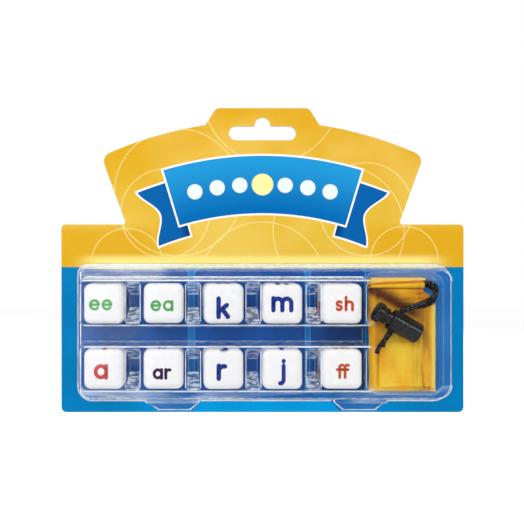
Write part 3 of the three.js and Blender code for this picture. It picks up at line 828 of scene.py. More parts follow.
def combine(piece, others, operation):
    """Joins the others to a piece or cuts them from it, and removes them."""
    for other in others:
        step = piece.modifiers.new(other.name, "BOOLEAN")
        step.operation = operation
        step.solver = "MANIFOLD"
        step.object = other
    graph = bpy.context.evaluated_depsgraph_get()
    shape = bpy.data.meshes.new_from_object(piece.evaluated_get(graph))
    piece.modifiers.clear()
    piece.data = shape
    for other in others:
        bpy.data.objects.remove(other)
    return piece


def rounded_rectangle(left, right, bottom, top, radii):
    """Points round a rectangle, from its lower right corner, with a radius for each corner."""
    centres = [
        (right - radii[0], bottom + radii[0], radii[0], -0.5),
        (right - radii[1], top - radii[1], radii[1], 0.0),
        (left + radii[2], top - radii[2], radii[2], 0.5),
        (left + radii[3], bottom + radii[3], radii[3], 1.0),
    ]
    outline = []
    for across, up, radius, start in centres:
        for step in range(CORNER_STEPS + 1):
            angle = math.pi * (start + 0.5 * step / CORNER_STEPS)
            outline.append((across + radius * math.cos(angle), up + radius * math.sin(angle)))
    return outline


def bend(start, corner, end, steps):
    """Points on a curve from start to end that a corner draws to itself."""
    points = []
    for step in range(steps + 1):
        share = step / steps
        points.append(tuple(start.lerp(corner, share).lerp(corner.lerp(end, share), share)))
    return points


def loft(name, rings, material):
    """A closed solid through (outline, depth) rings of equal point count."""
    points = [(*point, depth) for outline, depth in rings for point in outline]
    return add_piece(name, points, solid_faces(len(rings), len(rings[0][0])), material)


# Blister

# (1 - cosine, 1 - sine) shares of a quarter round
ROUND_ANGLES = [0.5 * math.pi * step / ROUND_STEPS for step in range(ROUND_STEPS + 1)]
QUARTER = [(1 - math.cos(angle), 1 - math.sin(angle)) for angle in ROUND_ANGLES]
# A slice too thin to see, which keeps two faces from lying in one plane
SLIVER = RIDGE_ROUND / 20
FLANGE_FRONT = SHELL_LOW.z + (SHELL_HIGH.z - SHELL_LOW.z) / 50


def wall_profile(draft, front_round):
    """(inset, depth) steps of a wall on the tray: a hollow foot, a slope and a rounded front."""
    profile = [(-draft - FOOT_ROUND, TRAY_FRONT - FOOT_ROUND)]
    for rise, out in QUARTER:
        profile.append((-draft - FOOT_ROUND * out, TRAY_FRONT + FOOT_ROUND * rise))
    for drawn_in, drop in QUARTER:
        profile.append((front_round * drawn_in, RIDGE_FRONT - front_round * drop))
    return profile


def raised_block(name, box, corner, right_share, profile, material):
    """A block that stands on the tray; right_share scales the slope of its right side."""
    left, right, bottom, top = box
    rings = []
    for inset, depth in profile:
        radii = [max(corner - inset, RIDGE_ROUND)] * 4
        far = right - (inset * right_share if inset < 0 else inset)
        outline = rounded_rectangle(left + inset, far, bottom + inset, top - inset, radii)
        rings.append((outline, depth))
    return loft(name, rings, material)


def fronted_block(name, outline, foot, draft, front, rounding, material):
    """A block that rises from the card to a rounded front; outline(inset) gives its rings."""
    rings = [(outline(0), SHELL_LOW.z), (outline(0), FACE_DEPTH), *foot]
    for drawn_in, drop in QUARTER:
        rings.append((outline(draft + rounding * drawn_in), front - rounding * drop))
    return loft(name, rings, material)


def tray_block(material):
    def outline(inset):
        radii = [max(radius - inset, RIDGE_ROUND) for radius in TRAY_CORNERS]
        left, right = TRAY_LEFT + inset, TRAY_RIGHT - inset
        return rounded_rectangle(left, right, TRAY_BOTTOM + inset, TRAY_TOP - inset, radii)

    foot = [(outline(FOOT_LINE_WIDTH), FACE_DEPTH + FOOT_LINE_RISE)]
    return fronted_block("tray", outline, foot, TRAY_DRAFT, TRAY_FRONT, TRAY_ROUND, material)


def lug_block(name, side, material):
    """A shallow lug on the tray's lower edge."""

    def outline(inset):
        top = TRAY_BOTTOM + TRAY_DRAFT + LUG_REACH / 2
        bottom = TRAY_BOTTOM - LUG_REACH + inset
        start = Vector((LUG_FOOT_HALF_WIDTH - inset, bottom))
        corner = Vector((LUG_FOOT_HALF_WIDTH + LUG_DEPTH - inset, TRAY_BOTTOM - inset))
        end = Vector((LUG_FLARE - inset, TRAY_BOTTOM))
        points = [
            (-LUG_INNER_HALF_WIDTH + inset, TRAY_BOTTOM),
            (-LUG_FOOT_HALF_WIDTH + inset, bottom),
            *bend(start, corner, end, CORNER_STEPS),
            (LUG_FLARE - inset, top),
            (-LUG_INNER_HALF_WIDTH + inset, top),
        ]
        placed = [(side * (LUG_OFFSETS[side] + across), up) for across, up in points]
        return placed if side > 0 else placed[::-1]

    front = FACE_DEPTH + LUG_DEPTH
    return fronted_block(name, outline, [], HOLLOW_DRAFT, front, RIDGE_ROUND, material)


def hollow_cutter(name, left, right, row, material):
    """The space between two dice pockets: steep ends, rounded floor and rounded crests."""
    floor = TRAY_FRONT + SLIVER
    height = RIDGE_FRONT - floor
    crest = CREST_WIDTH / 2

    def ring(depth, spread):
        rest = 1 - min((depth - floor) / height, 1)
        side = HOLLOW_DRAFT * rest - spread
        low = CREST_WIDTH + (HOLLOW_LOWER_SLOPE - CREST_WIDTH) * rest - spread
        high = CREST_WIDTH + (HOLLOW_UPPER_SLOPE - CREST_WIDTH) * rest - spread
        bottom, top = row - RIDGE_HALF + low, row + RIDGE_HALF - high
        radii = [max(FOOT_ROUND + spread, RIDGE_ROUND / 4)] * 4
        return rounded_rectangle(left + side, right - side, bottom, top, radii), depth

    rings = [ring(floor + FOOT_ROUND * rise, -FOOT_ROUND * out) for rise, out in QUARTER]
    rings += [ring(RIDGE_FRONT - crest * drop, crest * drawn_in) for drawn_in, drop in QUARTER]
    rings.append(ring(RIDGE_FRONT + CREST_WIDTH, crest))
    return loft(name, rings, material)


def dice_ridge(row_name, names, material):
    """One row's raised ridge with the hollows between its pockets."""
    middles = [die_middle(name) for name in names]
    row = middles[0].y + RIDGE_ROUND / 2
    end = BAG_POCKET[0] + RIDGE_ROUND
    profile = wall_profile(RIDGE_DRAFT, RIDGE_ROUND)
    box = (middles[0].x - RIDGE_HALF, end, row - RIDGE_HALF, row + RIDGE_HALF)
    ridge = raised_block("ridge_" + row_name, box, RIDGE_CORNER, 0, profile, material)
    rights = [middle.x - RIDGE_HALF for middle in middles[1:]] + [end + BAG_POCKET_DRAFT]
    cutters = []
    for index, (middle, right) in enumerate(zip(middles, rights)):
        name = f"hollow_{row_name}_{index}"
        cutters.append(hollow_cutter(name, middle.x + RIDGE_HALF, right, row, material))
    return combine(ridge, cutters, "DIFFERENCE")


def flange_block(material):
    radii = [TRAY_CORNERS[3]] * 4
    outline = rounded_rectangle(SHELL_LOW.x, SHELL_HIGH.x, SHELL_LOW.y, SHELL_HIGH.y, radii)
    return loft("flange", [(outline, SHELL_LOW.z), (outline, FLANGE_FRONT)], material)


def drop_back_face(shape):
    """Leaves the formed film: the flat face against the card goes."""
    back = -SHELL_LOW.z
    flat = [face for face in shape.faces if all(abs(v.co.y - back) < SLIVER for v in face.verts)]
    bmesh.ops.delete(shape, geom=flat, context="FACES")


def film_shares(shape, face, groove):
    """How far a face of the film carries a painted highlight line, and how clear it is as a slope.
    """
    corners = [shape.vertices[index].co for index in face.vertices]
    longest = max((b - a).length for a, b in zip(corners, corners[1:] + corners[:1]))
    depth = -face.center.y
    up = face.center.z + SLOT_TOP
    raised = depth > TRAY_FRONT
    in_lug = up < TRAY_BOTTOM
    in_pocket = raised and face.center.x > BAG_POCKET[0] - BAG_POCKET_DRAFT
    in_groove = groove[0] < up < groove[1]
    near_top = up > TRAY_TOP - TRAY_DRAFT - TRAY_ROUND

    slope = POCKET_SLOPE_SHARE if in_pocket else 1.0
    slope = GROOVE_SLOPE_SHARE if in_groove else slope
    slope = OUTER_SLOPE_SHARE if near_top or in_lug else slope

    white = HOLLOW_EDGE_SHARE if raised and longest < HOLLOW_EDGE_LENGTH else 1.0
    white = POCKET_EDGE_SHARE if in_pocket else white
    if in_groove and TRAY_FRONT < depth < TRAY_FRONT + FOOT_ROUND:
        white = min(white, GROOVE_EDGE_SHARE)
    if near_top and depth > TRAY_FRONT - TRAY_ROUND:
        white = TOP_EDGE_SHARE

    # Painted highlight lines go on narrow faces along edges, on the tray's foot and on its top
    # wall
    steepest, flattest = EDGE_TURNS
    if not steepest < abs(face.normal.y) < flattest:
        return 0.0, slope
    if face.area < longest * EDGE_WIDTH:
        return white, slope
    if FACE_DEPTH < depth < FACE_DEPTH + FOOT_LINE_RISE and not in_lug:
        return 1.0, slope
    return (TOP_WALL_SHARE if up > TRAY_TOP - TRAY_DRAFT else 0.0), slope


def mark_edges(piece):
    """Marks the molded edges that carry painted highlight lines, and how clear the slopes are."""
    shape = piece.data
    reach = RIDGE_HALF - RIDGE_ROUND
    groove = (die_middle("a").y + reach, die_middle("ee").y - reach)
    shares = [film_shares(shape, face, groove) for face in shape.polygons]
    for name, values in zip((EDGE_HIGHLIGHT_MARK, SLOPE_MARK), zip(*shares)):
        mark(piece, name, "FACE", values)


def add_blister():
    film = clear_film()
    right_share = BAG_POCKET_RIGHT_DRAFT / BAG_POCKET_DRAFT
    profile = wall_profile(BAG_POCKET_DRAFT, 2 * RIDGE_ROUND)
    blocks = [
        tray_block(film),
        dice_ridge("upper", ["ee", "ea", "k", "m", "sh"], film),
        dice_ridge("lower", ["a", "ar", "r", "j", "ff"], film),
        raised_block("bag_pocket", BAG_POCKET, BAG_POCKET_CORNER, right_share, profile, film),
        lug_block("lug_right", 1, film),
        lug_block("lug_left", -1, film),
    ]
    blister = combine(flange_block(film), blocks, "UNION")
    blister.name = "blister_film"
    reshape(blister, drop_back_face)
    soften(blister)
    mark_edges(blister)
    blister.visible_shadow = False
    blister.visible_diffuse = False
    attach(blister, "pack_front")
    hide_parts("blister_shell")


# Dice and their letters

ARC_STEP_DEGREES = 12
OVAL = 1.08


def arc(across, up, radius, start, end, squash=1.0):
    """Points on an arc, in degrees from the right, turning left as they rise."""
    count = max(int(abs(end - start) / ARC_STEP_DEGREES), 2)
    points = []
    for step in range(count + 1):
        angle = math.radians(start + (end - start) * step / count)
        points.append((across + radius * math.cos(angle), up + squash * radius * math.sin(angle)))
    return points


# Each glyph: its width and its strokes, where 1 is the height of a small letter
GLYPHS = {
    "a": (0.9, [arc(0.45, 0.5, 0.45, 35, 325, OVAL), [(0.9, 0.98), (0.9, 0.0)]]),
    "d": (0.9, [arc(0.45, 0.5, 0.45, 35, 325, OVAL), [(0.9, 1.5), (0.9, 0.0)]]),
    "e": (0.92, [[(0.06, 0.52), (0.88, 0.52)], arc(0.47, 0.5, 0.46, 2, 318, OVAL)]),
    "f": (0.14, [arc(0.34, 1.2, 0.26, 60, 180) + [(0.08, 0.0)], [(-0.18, 0.92), (0.4, 0.92)]]),
    "h": (0.78, [[(0.0, 1.5), (0.0, 0.0)], arc(0.39, 0.6, 0.39, 180, 0) + [(0.78, 0.0)]]),
    "i": (0.1, [[(0.05, 1.0), (0.05, 0.0)], [(0.05, 1.4), (0.05, 1.42)]]),
    "j": (0.4, [[(0.38, 1.0)] + arc(0.1, -0.2, 0.28, 0, -90), [(0.38, 1.4), (0.38, 1.42)]]),
    "k": (
        0.8,
        [[(0.0, 1.45), (0.0, 0.0)], [(0.66, 0.92), (0.06, 0.42)], [(0.3, 0.6), (0.76, 0.0)]],
    ),
    "m": (
        1.56,
        [
            [(0.0, 1.0), (0.0, 0.0)],
            arc(0.39, 0.6, 0.39, 180, 0) + [(0.78, 0.0)],
            arc(1.17, 0.6, 0.39, 180, 0) + [(1.56, 0.0)],
        ],
    ),
    "n": (0.76, [[(0.0, 1.0), (0.0, 0.0)], arc(0.38, 0.6, 0.38, 180, 0) + [(0.76, 0.0)]]),
    "o": (0.92, [arc(0.46, 0.5, 0.46, 0, 360, OVAL)]),
    "r": (0.52, [[(0.0, 1.0), (0.0, 0.0)], arc(0.4, 0.58, 0.4, 180, 78)]),
    "s": (0.66, [arc(0.35, 0.745, 0.265, 40, 250, 0.94) + arc(0.32, 0.25, 0.27, 70, -145, 0.94)]),
    "t": (0.55, [[(0.22, 1.4), (0.22, 0.0)], [(0.0, 0.95), (0.5, 0.95)]]),
}
GLYPH_GAP = 0.5

INKS = {
    "green": tint(82, 170, 84),
    "red": tint(198, 68, 70),
    "navy": tint(0, 42, 138),
    "purple": tint(52, 0, 68),
    "orange": tint(190, 70, 16),
}
# Each die: its ink, its letters' height and stroke, its turns in degrees about up and across,
# how far its front letters sit right of and above the middle, and the letters of its faces:
# front, right, left, top, bottom and back
DICE = {
    "ee": ("green", (0.0039, 0.0014), (0.6, 1.2), (-0.0012, -0.0003), "ee oo ea ai oa ie"),
    "ea": ("green", (0.0039, 0.0014), (1, -0.8), (-0.0007, -0.001), "ea ai ee oa ie oo"),
    "k": ("navy", (0.0054, 0.0024), (3.5, 1), (-0.0004, -0.0016), "k t d n m r"),
    "m": ("navy", (0.0051, 0.0023), (-0.8, 1.4), (-0.0002, 0.0), "m d n h t k"),
    "sh": ("orange", (0.0037, 0.0015), (-1.2, 0.9), (0.0008, 0.0002), "sh th ff nk sk st"),
    "a": ("red", (0.0052, 0.002), (0.8, 0), (-0.0011, -0.0009), "a e o i o e"),
    "ar": ("purple", (0.0037, 0.0016), (0.4, -0.6), (-0.0005, -0.0019), "ar or er ir or er"),
    "r": ("navy", (0.0055, 0.0024), (2.5, 0.5), (-0.0009, -0.001), "r s h j f n"),
    "j": ("navy", (0.0052, 0.0021), (-0.6, 0.8), (-0.0006, -0.0009), "j f k t d s"),
    "ff": ("orange", (0.0037, 0.0015), (-1, -0.7), (-0.0002, -0.0007), "ff st th sk nk sh"),
}
HIDDEN_LETTER_SHIFT = (0.0, -0.0028)
INK_RELIEF = 0.00006
# A stroke's round ends and its raised middle, as shares of its half width
CAP_SHARES = (0.35, 0.7, 0.92, 0.995)
STROKE_SHARES = (-1.0, -0.6, 0.6, 1.0)
DIE_ROUND_SHARES = (0, 0.25, 0.5, 0.75, 1.0)
SEAM_WIDTH = DIE_ROUND / 1000

# Face frames: right, up and outward directions in the die's own axes
DIE_FACES = [
    ((1, 0, 0), (0, 1, 0), (0, 0, 1)),
    ((0, 0, -1), (0, 1, 0), (1, 0, 0)),
    ((0, 0, 1), (0, 1, 0), (-1, 0, 0)),
    ((1, 0, 0), (0, 0, -1), (0, 1, 0)),
    ((1, 0, 0), (0, 0, 1), (0, -1, 0)),
    ((-1, 0, 0), (0, 1, 0), (0, 0, -1)),
]


def letter_strokes(text, height):
    """A word's strokes, centred on the middle of their box."""
    strokes = []
    start = 0.0
    for letter in text:
        width, lines = GLYPHS[letter]
        strokes += [[(start + across, up) for across, up in line] for line in lines]
        start += width + GLYPH_GAP
    heights = [up for line in strokes for _, up in line]
    middle = (start - GLYPH_GAP) / 2
    centre = (min(heights) + max(heights)) / 2
    return [[((x - middle) * height, (y - centre) * height) for x, y in line] for line in strokes]


def stroke_mesh(line, width):
    """A flat rounded stroke: (across, up, relief) points and faces."""
    half = width / 2
    path = [Vector(point) for point in line]
    rows = [(point, heading(path, index), 1.0) for index, point in enumerate(path)]

    def cap(row, sign):
        point, along, _ = row
        return [
            (point + along * sign * half * share, along, math.sqrt(1 - share**2))
            for share in CAP_SHARES
        ]

    full = cap(rows[0], -1)[::-1] + rows + cap(rows[-1], 1)
    points = []
    for point, along, spread in full:
        side = Vector((-along.y, along.x)) * half * spread
        for share in STROKE_SHARES:
            relief = INK_RELIEF if abs(share) < 1 else -INK_RELIEF / 2
            points.append((point.x + side.x * share, point.y + side.y * share, relief))
    return points, grid_faces(len(full), len(STROKE_SHARES))


def die_pose(name, turns):
    about_up, about_across = (math.radians(turn) for turn in turns)
    turned = Matrix.Rotation(about_across, 4, "X") @ Matrix.Rotation(about_up, 4, "Y")
    return Matrix.Translation(die_middle(name)) @ turned


def die_frames():
    return [[Vector(axis) for axis in face] for face in DIE_FACES]


def die_shell():
    """A cube of quads whose edges and corners are rounded, as points and faces."""
    half = DIE_SIZE / 2
    core = half - DIE_ROUND
    stops = [-half + DIE_ROUND * share for share in DIE_ROUND_SHARES]
    stops = stops + [-stop for stop in reversed(stops)]
    points = []
    faces = []
    for right, up, out in die_frames():
        faces += moved_faces(grid_faces(len(stops), len(stops)), len(points))
        for row in stops:
            for column in stops:
                raw = right * column + up * row + out * half
                inner = Vector([max(-core, min(core, value)) for value in raw])
                points.append(inner + (raw - inner).normalized() * DIE_ROUND)
    return points, faces


def join_seams(shape):
    """Makes one skin of the six faces."""
    bmesh.ops.remove_doubles(shape, verts=shape.verts, dist=SEAM_WIDTH)


def die_letters(height, width, front_shift, words):
    """The letters on a die's six faces, as points and faces."""
    points = []
    faces = []
    for word, (right, up, out) in zip(words, die_frames()):
        aside, rise = front_shift if out.z > 0 else HIDDEN_LETTER_SHIFT
        for line in letter_strokes(word, height):
            stroke, quads = stroke_mesh(line, width)
            faces += moved_faces(quads, len(points))
            for x, y, relief in stroke:
                spot = right * (x + aside) + up * (y + rise) + out * (DIE_SIZE / 2 + relief)
                points.append(spot)
    return points, faces


def add_die(name, plastic, inks):
    colour, (height, width), turns, shift, words = DICE[name]
    pose = die_pose(name, turns)
    points, faces = die_shell()
    die = add_piece("dice_body_" + name, [pose @ point for point in points], faces, plastic)
    reshape(die, join_seams)
    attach(die, "die_" + name)
    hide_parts("die_" + name)

    points, faces = die_letters(height, width, shift, words.split())
    points = [pose @ point for point in points]
    letters = add_piece("dice_letters_" + name, points, faces, inks[colour])
    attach(letters, "die_" + name)


def add_dice():
    plastic = die_plastic()
    inks = {name: ink(name, colour) for name, colour in INKS.items()}
    for name in DICE:
        add_die(name, plastic, inks)


# Drawcord

STRAND_STEPS = 10
STRAND_SIDES = 40


def strand_points(side, count):
    """One strand's points: the pair's route, moved square to it and turned round it."""
    route = [Vector(stop[:3]) for stop in CORD_ROUTE]
    viewer = Vector((0, 0, 1))
    reach = side * (CORD_DIAMETER + CORD_GAP) / 2
    points = []
    for index, point in enumerate(route[:count]):
        along = heading(route, index)
        front = (viewer - along * along.dot(viewer)).normalized()
        aside = along.cross(front)
        angle = math.radians(CORD_ROUTE[index][3])
        points.append(point + reach * (front * math.cos(angle) + aside * math.sin(angle)))
    return points


def smooth_path(points, steps):
    """Points on a centripetal Catmull-Rom curve."""
    first = points[0] * 2 - points[1]
    last = points[-1] * 2 - points[-2]
    stops = [first, *points, last]
    path = []
    for index in range(len(points) - 1):
        p0, p1, p2, p3 = stops[index : index + 4]
        gaps = [math.sqrt((b - a).length) for a, b in ((p0, p1), (p1, p2), (p2, p3))]
        leave = (p1 - p0) / gaps[0] - (p2 - p0) / (gaps[0] + gaps[1]) + (p2 - p1) / gaps[1]
        arrive = (p2 - p1) / gaps[1] - (p3 - p1) / (gaps[1] + gaps[2]) + (p3 - p2) / gaps[2]
        leave *= gaps[1]
        arrive *= gaps[1]
        for step in range(steps):
            t = step / steps
            path.append(
                p1 * (2 * t**3 - 3 * t**2 + 1)
                + leave * (t**3 - 2 * t**2 + t)
                + p2 * (-2 * t**3 + 3 * t**2)
                + arrive * (t**3 - t**2)
            )
    path.append(points[-1])
    return path


def tube(name, path, radius_at, sides, material):
    """A closed tube along layout points; radius_at(distance, turn) gives its surface."""
    across = (path[1] - path[0]).orthogonal().normalized()
    points = []
    radii = []
    distance = 0.0
    for index, point in enumerate(path):
        along = heading(path, index)
        across = (across - along * across.dot(along)).normalized()
        other = along.cross(across)
        distance += (point - path[max(index - 1, 0)]).length
        for side in range(sides):
            turn = 2 * math.pi * side / sides
            radius = radius_at(distance, turn)
            radii.append(radius)
            points.append(point + radius * (across * math.cos(turn) + other * math.sin(turn)))
    piece = add_piece(name, points, solid_faces(len(path), sides), material)
    widest = max(radii)
    mark(piece, CREST_MARK, "POINT", [radius / widest for radius in radii])
    return piece


def braid_radius(distance, turn):
    """A round braid of plaits that cross over one another."""
    lay = 2 * math.pi * distance / BRAID_PITCH
    right = math.cos(BRAID_PLAITS * (turn + lay))
    left = math.cos(BRAID_PLAITS * (turn - lay))
    return CORD_DIAMETER / 2 - BRAID_RELIEF * (1 - max(right, left))


def path_length(path):
    return sum((after - before).length for before, after in zip(path, path[1:]))


def add_strand(name, side, count, material):
    path = smooth_path(strand_points(side, count), STRAND_STEPS)
    strand = tube("braided_" + name, path, braid_radius, STRAND_SIDES, material)
    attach(strand, "bag")
    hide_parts(name)
    place(*path[0])
    path_length(path)
    [place(*point) for point in path]


# Cord lock

LOCK_TILT = Matrix.Rotation(math.radians(LOCK_TILT_DEGREES), 4, "Z")
LOCK_POSE = Matrix.Translation(LOCK_MIDDLE) @ LOCK_TILT
LOCK_STEPS = 64
SPRING_STEPS = 24
SPRING_SIDES = 10
STRAND_ROOM = CORD_DIAMETER / 2 + CORD_GAP
# A turned piece starts and ends this near its axis
AXIS_RADIUS = CORD_GAP / 10
# Roundings of the lock's smaller edges
GROOVE_ROUND = 0.0001
NECK_ROUND = 0.00015
BORE_ROUND = 0.0002
FOOT_EDGE_ROUND = 0.0003
RIM_ROUND = 0.0004


def lock_point(across, height, depth):
    """A point in the layout from the lock's own axes."""
    return LOCK_POSE @ Vector((across, height, depth))


def turned_piece(name, profile, material):
    """A solid of revolution about the lock's axis from (radius, height) points."""
    points = []
    for radius, height in profile:
        for step in range(LOCK_STEPS):
            turn = -2 * math.pi * step / LOCK_STEPS
            points.append(lock_point(radius * math.cos(turn), height, radius * math.sin(turn)))
    return add_piece(name, points, solid_faces(len(profile), LOCK_STEPS), material)


def rounded_profile(corners):
    """A profile from (radius, height, rounding) corners."""
    profile = []
    for index, (radius, height, rounding) in enumerate(corners):
        corner = Vector((radius, height))
        if rounding == 0:
            profile.append(tuple(corner))
            continue
        before = Vector(corners[index - 1][:2])
        after = Vector(corners[index + 1][:2])
        start = corner + (before - corner).normalized() * rounding
        end = corner + (after - corner).normalized() * rounding
        profile += bend(start, corner, end, ROUND_STEPS)
    return profile


def strand_slot(low, high, material):
    """The cutter of the cross slot that both strands run through."""
    half = CORD_DIAMETER + 1.5 * CORD_GAP
    reach = BARREL_RADIUS + CORD_DIAMETER
    points = []
    for across in (-reach, reach):
        for height, depth in ((low, -half), (high, -half), (high, half), (low, half)):
            points.append(lock_point(across, height, depth))
    faces = [(3, 2, 1, 0), (4, 5, 6, 7)]
    faces += [(side, (side + 1) % 4, (side + 1) % 4 + 4, side + 4) for side in range(4)]
    return add_piece("strand_slot", points, faces, material, smooth=False)


def add_barrel(material):
    tail = -BARREL_TAIL
    ring = BARREL_RIM - BARREL_ROUND
    profile = rounded_profile(
        [
            (AXIS_RADIUS, tail, 0),
            (BARREL_RADIUS, tail, BARREL_ROUND),
            (BARREL_RADIUS, ring, GROOVE_ROUND),
            (BARREL_RADIUS - CORD_GAP, ring, GROOVE_ROUND),
            (BARREL_RADIUS - CORD_GAP, ring + CORD_GAP, GROOVE_ROUND),
            (BARREL_RADIUS, ring + CORD_GAP, GROOVE_ROUND),
            (BARREL_RADIUS, BARREL_RIM, RIM_ROUND),
            (BARREL_BORE, BARREL_RIM, BORE_ROUND),
            (BARREL_BORE, tail + BARREL_FLOOR, BORE_ROUND),
            (AXIS_RADIUS, tail + BARREL_FLOOR, 0),
        ]
    )
    barrel = turned_piece("lock_barrel", profile, material)
    combine(barrel, [strand_slot(-STRAND_ROOM, STRAND_ROOM, material)], "DIFFERENCE")
    soften(barrel)
    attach(barrel, "bag")
    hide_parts("cord_lock_barrel")
    return barrel


def add_plunger(material):
    slot_end = STRAND_ROOM + PLUNGER_TRAVEL
    head_foot = PLUNGER_TOP - HEAD_HEIGHT
    narrow = PLUNGER_RADIUS - NECK_GROOVE_DEPTH
    corners = [(AXIS_RADIUS, -PLUNGER_FOOT, 0), (PLUNGER_RADIUS, -PLUNGER_FOOT, FOOT_EDGE_ROUND)]
    for low in (slot_end + NECK_GROOVE_WIDTH, slot_end + 3 * NECK_GROOVE_WIDTH):
        high = low + NECK_GROOVE_WIDTH
        edges = ((PLUNGER_RADIUS, low), (narrow, low), (narrow, high), (PLUNGER_RADIUS, high))
        corners += [(*edge, NECK_ROUND) for edge in edges]
    corners += [
        (PLUNGER_RADIUS, head_foot, BORE_ROUND),
        (HEAD_RADIUS, head_foot, RIM_ROUND),
        (HEAD_RADIUS, PLUNGER_TOP, HEAD_ROUND),
        (AXIS_RADIUS, PLUNGER_TOP, 0),
    ]
    plunger = turned_piece("lock_plunger_body", rounded_profile(corners), material)
    combine(plunger, [strand_slot(-STRAND_ROOM, slot_end, material)], "DIFFERENCE")
    soften(plunger)
    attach(plunger, "lock_plunger")
    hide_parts("cord_lock_plunger")
    return plunger


def add_spring(material):
    """The coiled spring inside the lock, between the barrel's floor and the plunger's foot."""
    low = -BARREL_TAIL + BARREL_FLOOR + CORD_GAP + SPRING_WIRE / 2
    high = -PLUNGER_FOOT - CORD_GAP - SPRING_WIRE / 2
    count = SPRING_TURNS * SPRING_STEPS
    path = []
    for step in range(count + 1):
        turn = 2 * math.pi * step / SPRING_STEPS
        height = low + (high - low) * step / count
        point = (SPRING_RADIUS * math.cos(turn), height, SPRING_RADIUS * math.sin(turn))
        path.append(lock_point(*point))

    def wire_radius(distance, turn):
        return SPRING_WIRE / 2

    spring = tube("lock_spring_wire", path, wire_radius, SPRING_SIDES, material)
    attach(spring, "bag")
    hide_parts("cord_lock_spring")
    foot = lock_point(0, low - SPRING_WIRE / 2, 0)
    axis = place(*lock_point(0, 1, 0)) - place(*lock_point(0, 0, 0))
    place(*foot)
    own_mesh(spring)
    return spring


def add_drawcord():
    plastic = lock_plastic()
    lock = [add_barrel(plastic), add_plunger(plastic), add_spring(spring_steel())]
    braid = cord_braid()
    add_strand("drawcord_strand_a", 1, len(CORD_ROUTE), braid)
    add_strand("drawcord_strand_b", -1, len(CORD_ROUTE) - SHORT_TAIL_POINTS, braid)


# Bag

# How far the layers are drawn in from their sides, at shares of the bag's depth
BAG_INSETS = [(0, 0.35), (0.12, 0.08), (0.4, 0.02), (0.7, 0.1), (0.9, 0.42), (1, 0.8)]
BAG_ROWS = 90
BAG_COLUMNS = 64
BAG_TURN_STEPS = 5
BAG_BACK_ROOM = 0.00015
BAG_TOP_SPAN = (0.75, 1.0)
BAG_FOOT_RISE = 0.0004
BAG_STAGGER = 0.0004
BAG_SIDE_WAVER = 0.00035
BAG_SIDE_STEP = 0.0006
# How near the layers' ends the wrinkles fade, and how far round the cord the corner turns
BAG_EDGE_FADE = 0.12
BAG_CORNER_TURN = 0.94
CREASE_WAVER = 0.0012
FINE_CREASE_WIDTH = 0.07
FINE_CREASE_SHARE = 0.5
SOFT_SHARE = 0.7
SOFT_DROP = 0.9
# The noise's waves in a metre of cloth, across and up, and its steps from layer to layer
SOFT_WAVES = (170, 70)
SOFT_STEPS = (7.3, 3.1)
SMALL_WAVES = 2.3
SMALL_WAVE_SHARE = 0.5
SLANT_WAVES = (90, 80, 30)
SLANT_START = 5
WAVER_WAVES = 60
WAVER_STEP = 2
SIDE_WAVES = 90
SIDE_STEP = 4.7
SIDE_START = 1
STAGGER_STEP = 5.1
STAGGER_START = (2, 0.5)
HEM_WAVES = (160, 220)

HEM_ROWS = 40
HEM_STEPS = 4
HEM_START_ROOM = 0.0002
HEM_WAVER = 0.0002
HEM_CREASE_DROP = 0.0031
HEM_CREASE_RISE = 0.0013
# The lip over the crease, and where along the hem it sinks to a tenth of its height
HEM_LIP = 0.0011
LIP_END = (0.86, 0.93)
LIP_SINK = 0.9
# The hem's section below and above its crease, up and depth: a positive distance starts at
# its low side, and a negative one at its high side
HEM_BELOW = [(0.0009, 0.0012), (0.0003, 0.0035), (0.0002, -0.0024)]
HEM_LIP_FOOT = (0.0006, -0.0018)
# The lip's edge and the crease, from the crease's middle and the hem's front
HEM_LIP_EDGE = (-0.0007, -0.0014)
HEM_CREASE = [(-0.0001, -0.0026), (0.0001, -0.0025), (0.0007, -0.0002)]
HEM_ABOVE = [
    (-0.0012, -0.0001),
    (-0.0003, -0.0009),
    (-0.0001, -0.0032),
    (-0.0001, 0.0016),
    (-0.0008, 0.0004),
    (-0.0024, 0.0002),
    (0.0016, 0.0003),
    (0.0013, 0.0014),
    (0.0022, 0.003),
    (-0.0016, 0.0046),
    (-0.0013, -0.0028),
    (0.0018, -0.0032),
]


def eased(value, start, end):
    share = max(0.0, min(1.0, (value - start) / (end - start)))
    return share * share * (3 - 2 * share)


def bag_inset(share):
    """How far a layer at a share of the bag's depth is drawn in from its sides."""
    for (low, inset), (high, next_inset) in zip(BAG_INSETS, BAG_INSETS[1:]):
        if share <= high:
            part = (share - low) / (high - low)
            return BAG_CORNER * (inset + (next_inset - inset) * part)
    return BAG_CORNER * BAG_INSETS[-1][1]


def bag_right_edge(up, inset):
    """The bag's right side, pulled in round the cord at its upper corner."""
    radius = BAG_CORD_CORNER - inset
    middle_up = BAG_HIGH.y - BAG_CORD_CORNER
    rise = max(0.0, min(up - middle_up, BAG_CORNER_TURN * radius))
    return BAG_HIGH.x - BAG_CORD_CORNER + math.sqrt(radius**2 - rise**2)


def lock_limit(across, up):
    """The greatest depth the cloth may have under and round the cord lock."""
    local = LOCK_POSE.inverted() @ Vector((across, up, LOCK_MIDDLE[2]))
    middle = (PLUNGER_TOP - BARREL_TAIL) / 2
    beyond = max(0.0, abs(local.y - middle) - (PLUNGER_TOP + BARREL_TAIL) / 2)
    reach = BARREL_RADIUS + CORD_GAP
    lowest = LOCK_MIDDLE[2] - reach
    return min(BAG_HIGH.z, lowest + DENT_SLOPE * (beyond + max(0.0, abs(local.x) - reach / 2)))


def fold_line(distance, width):
    """A crease's profile: 1 in its valley and 0 a few widths away."""
    return math.exp(-((distance / width) ** 2))


def waves(*spot):
    """Smooth noise at a spot, from about -1 to 1."""
    return noise.noise(Vector(spot))


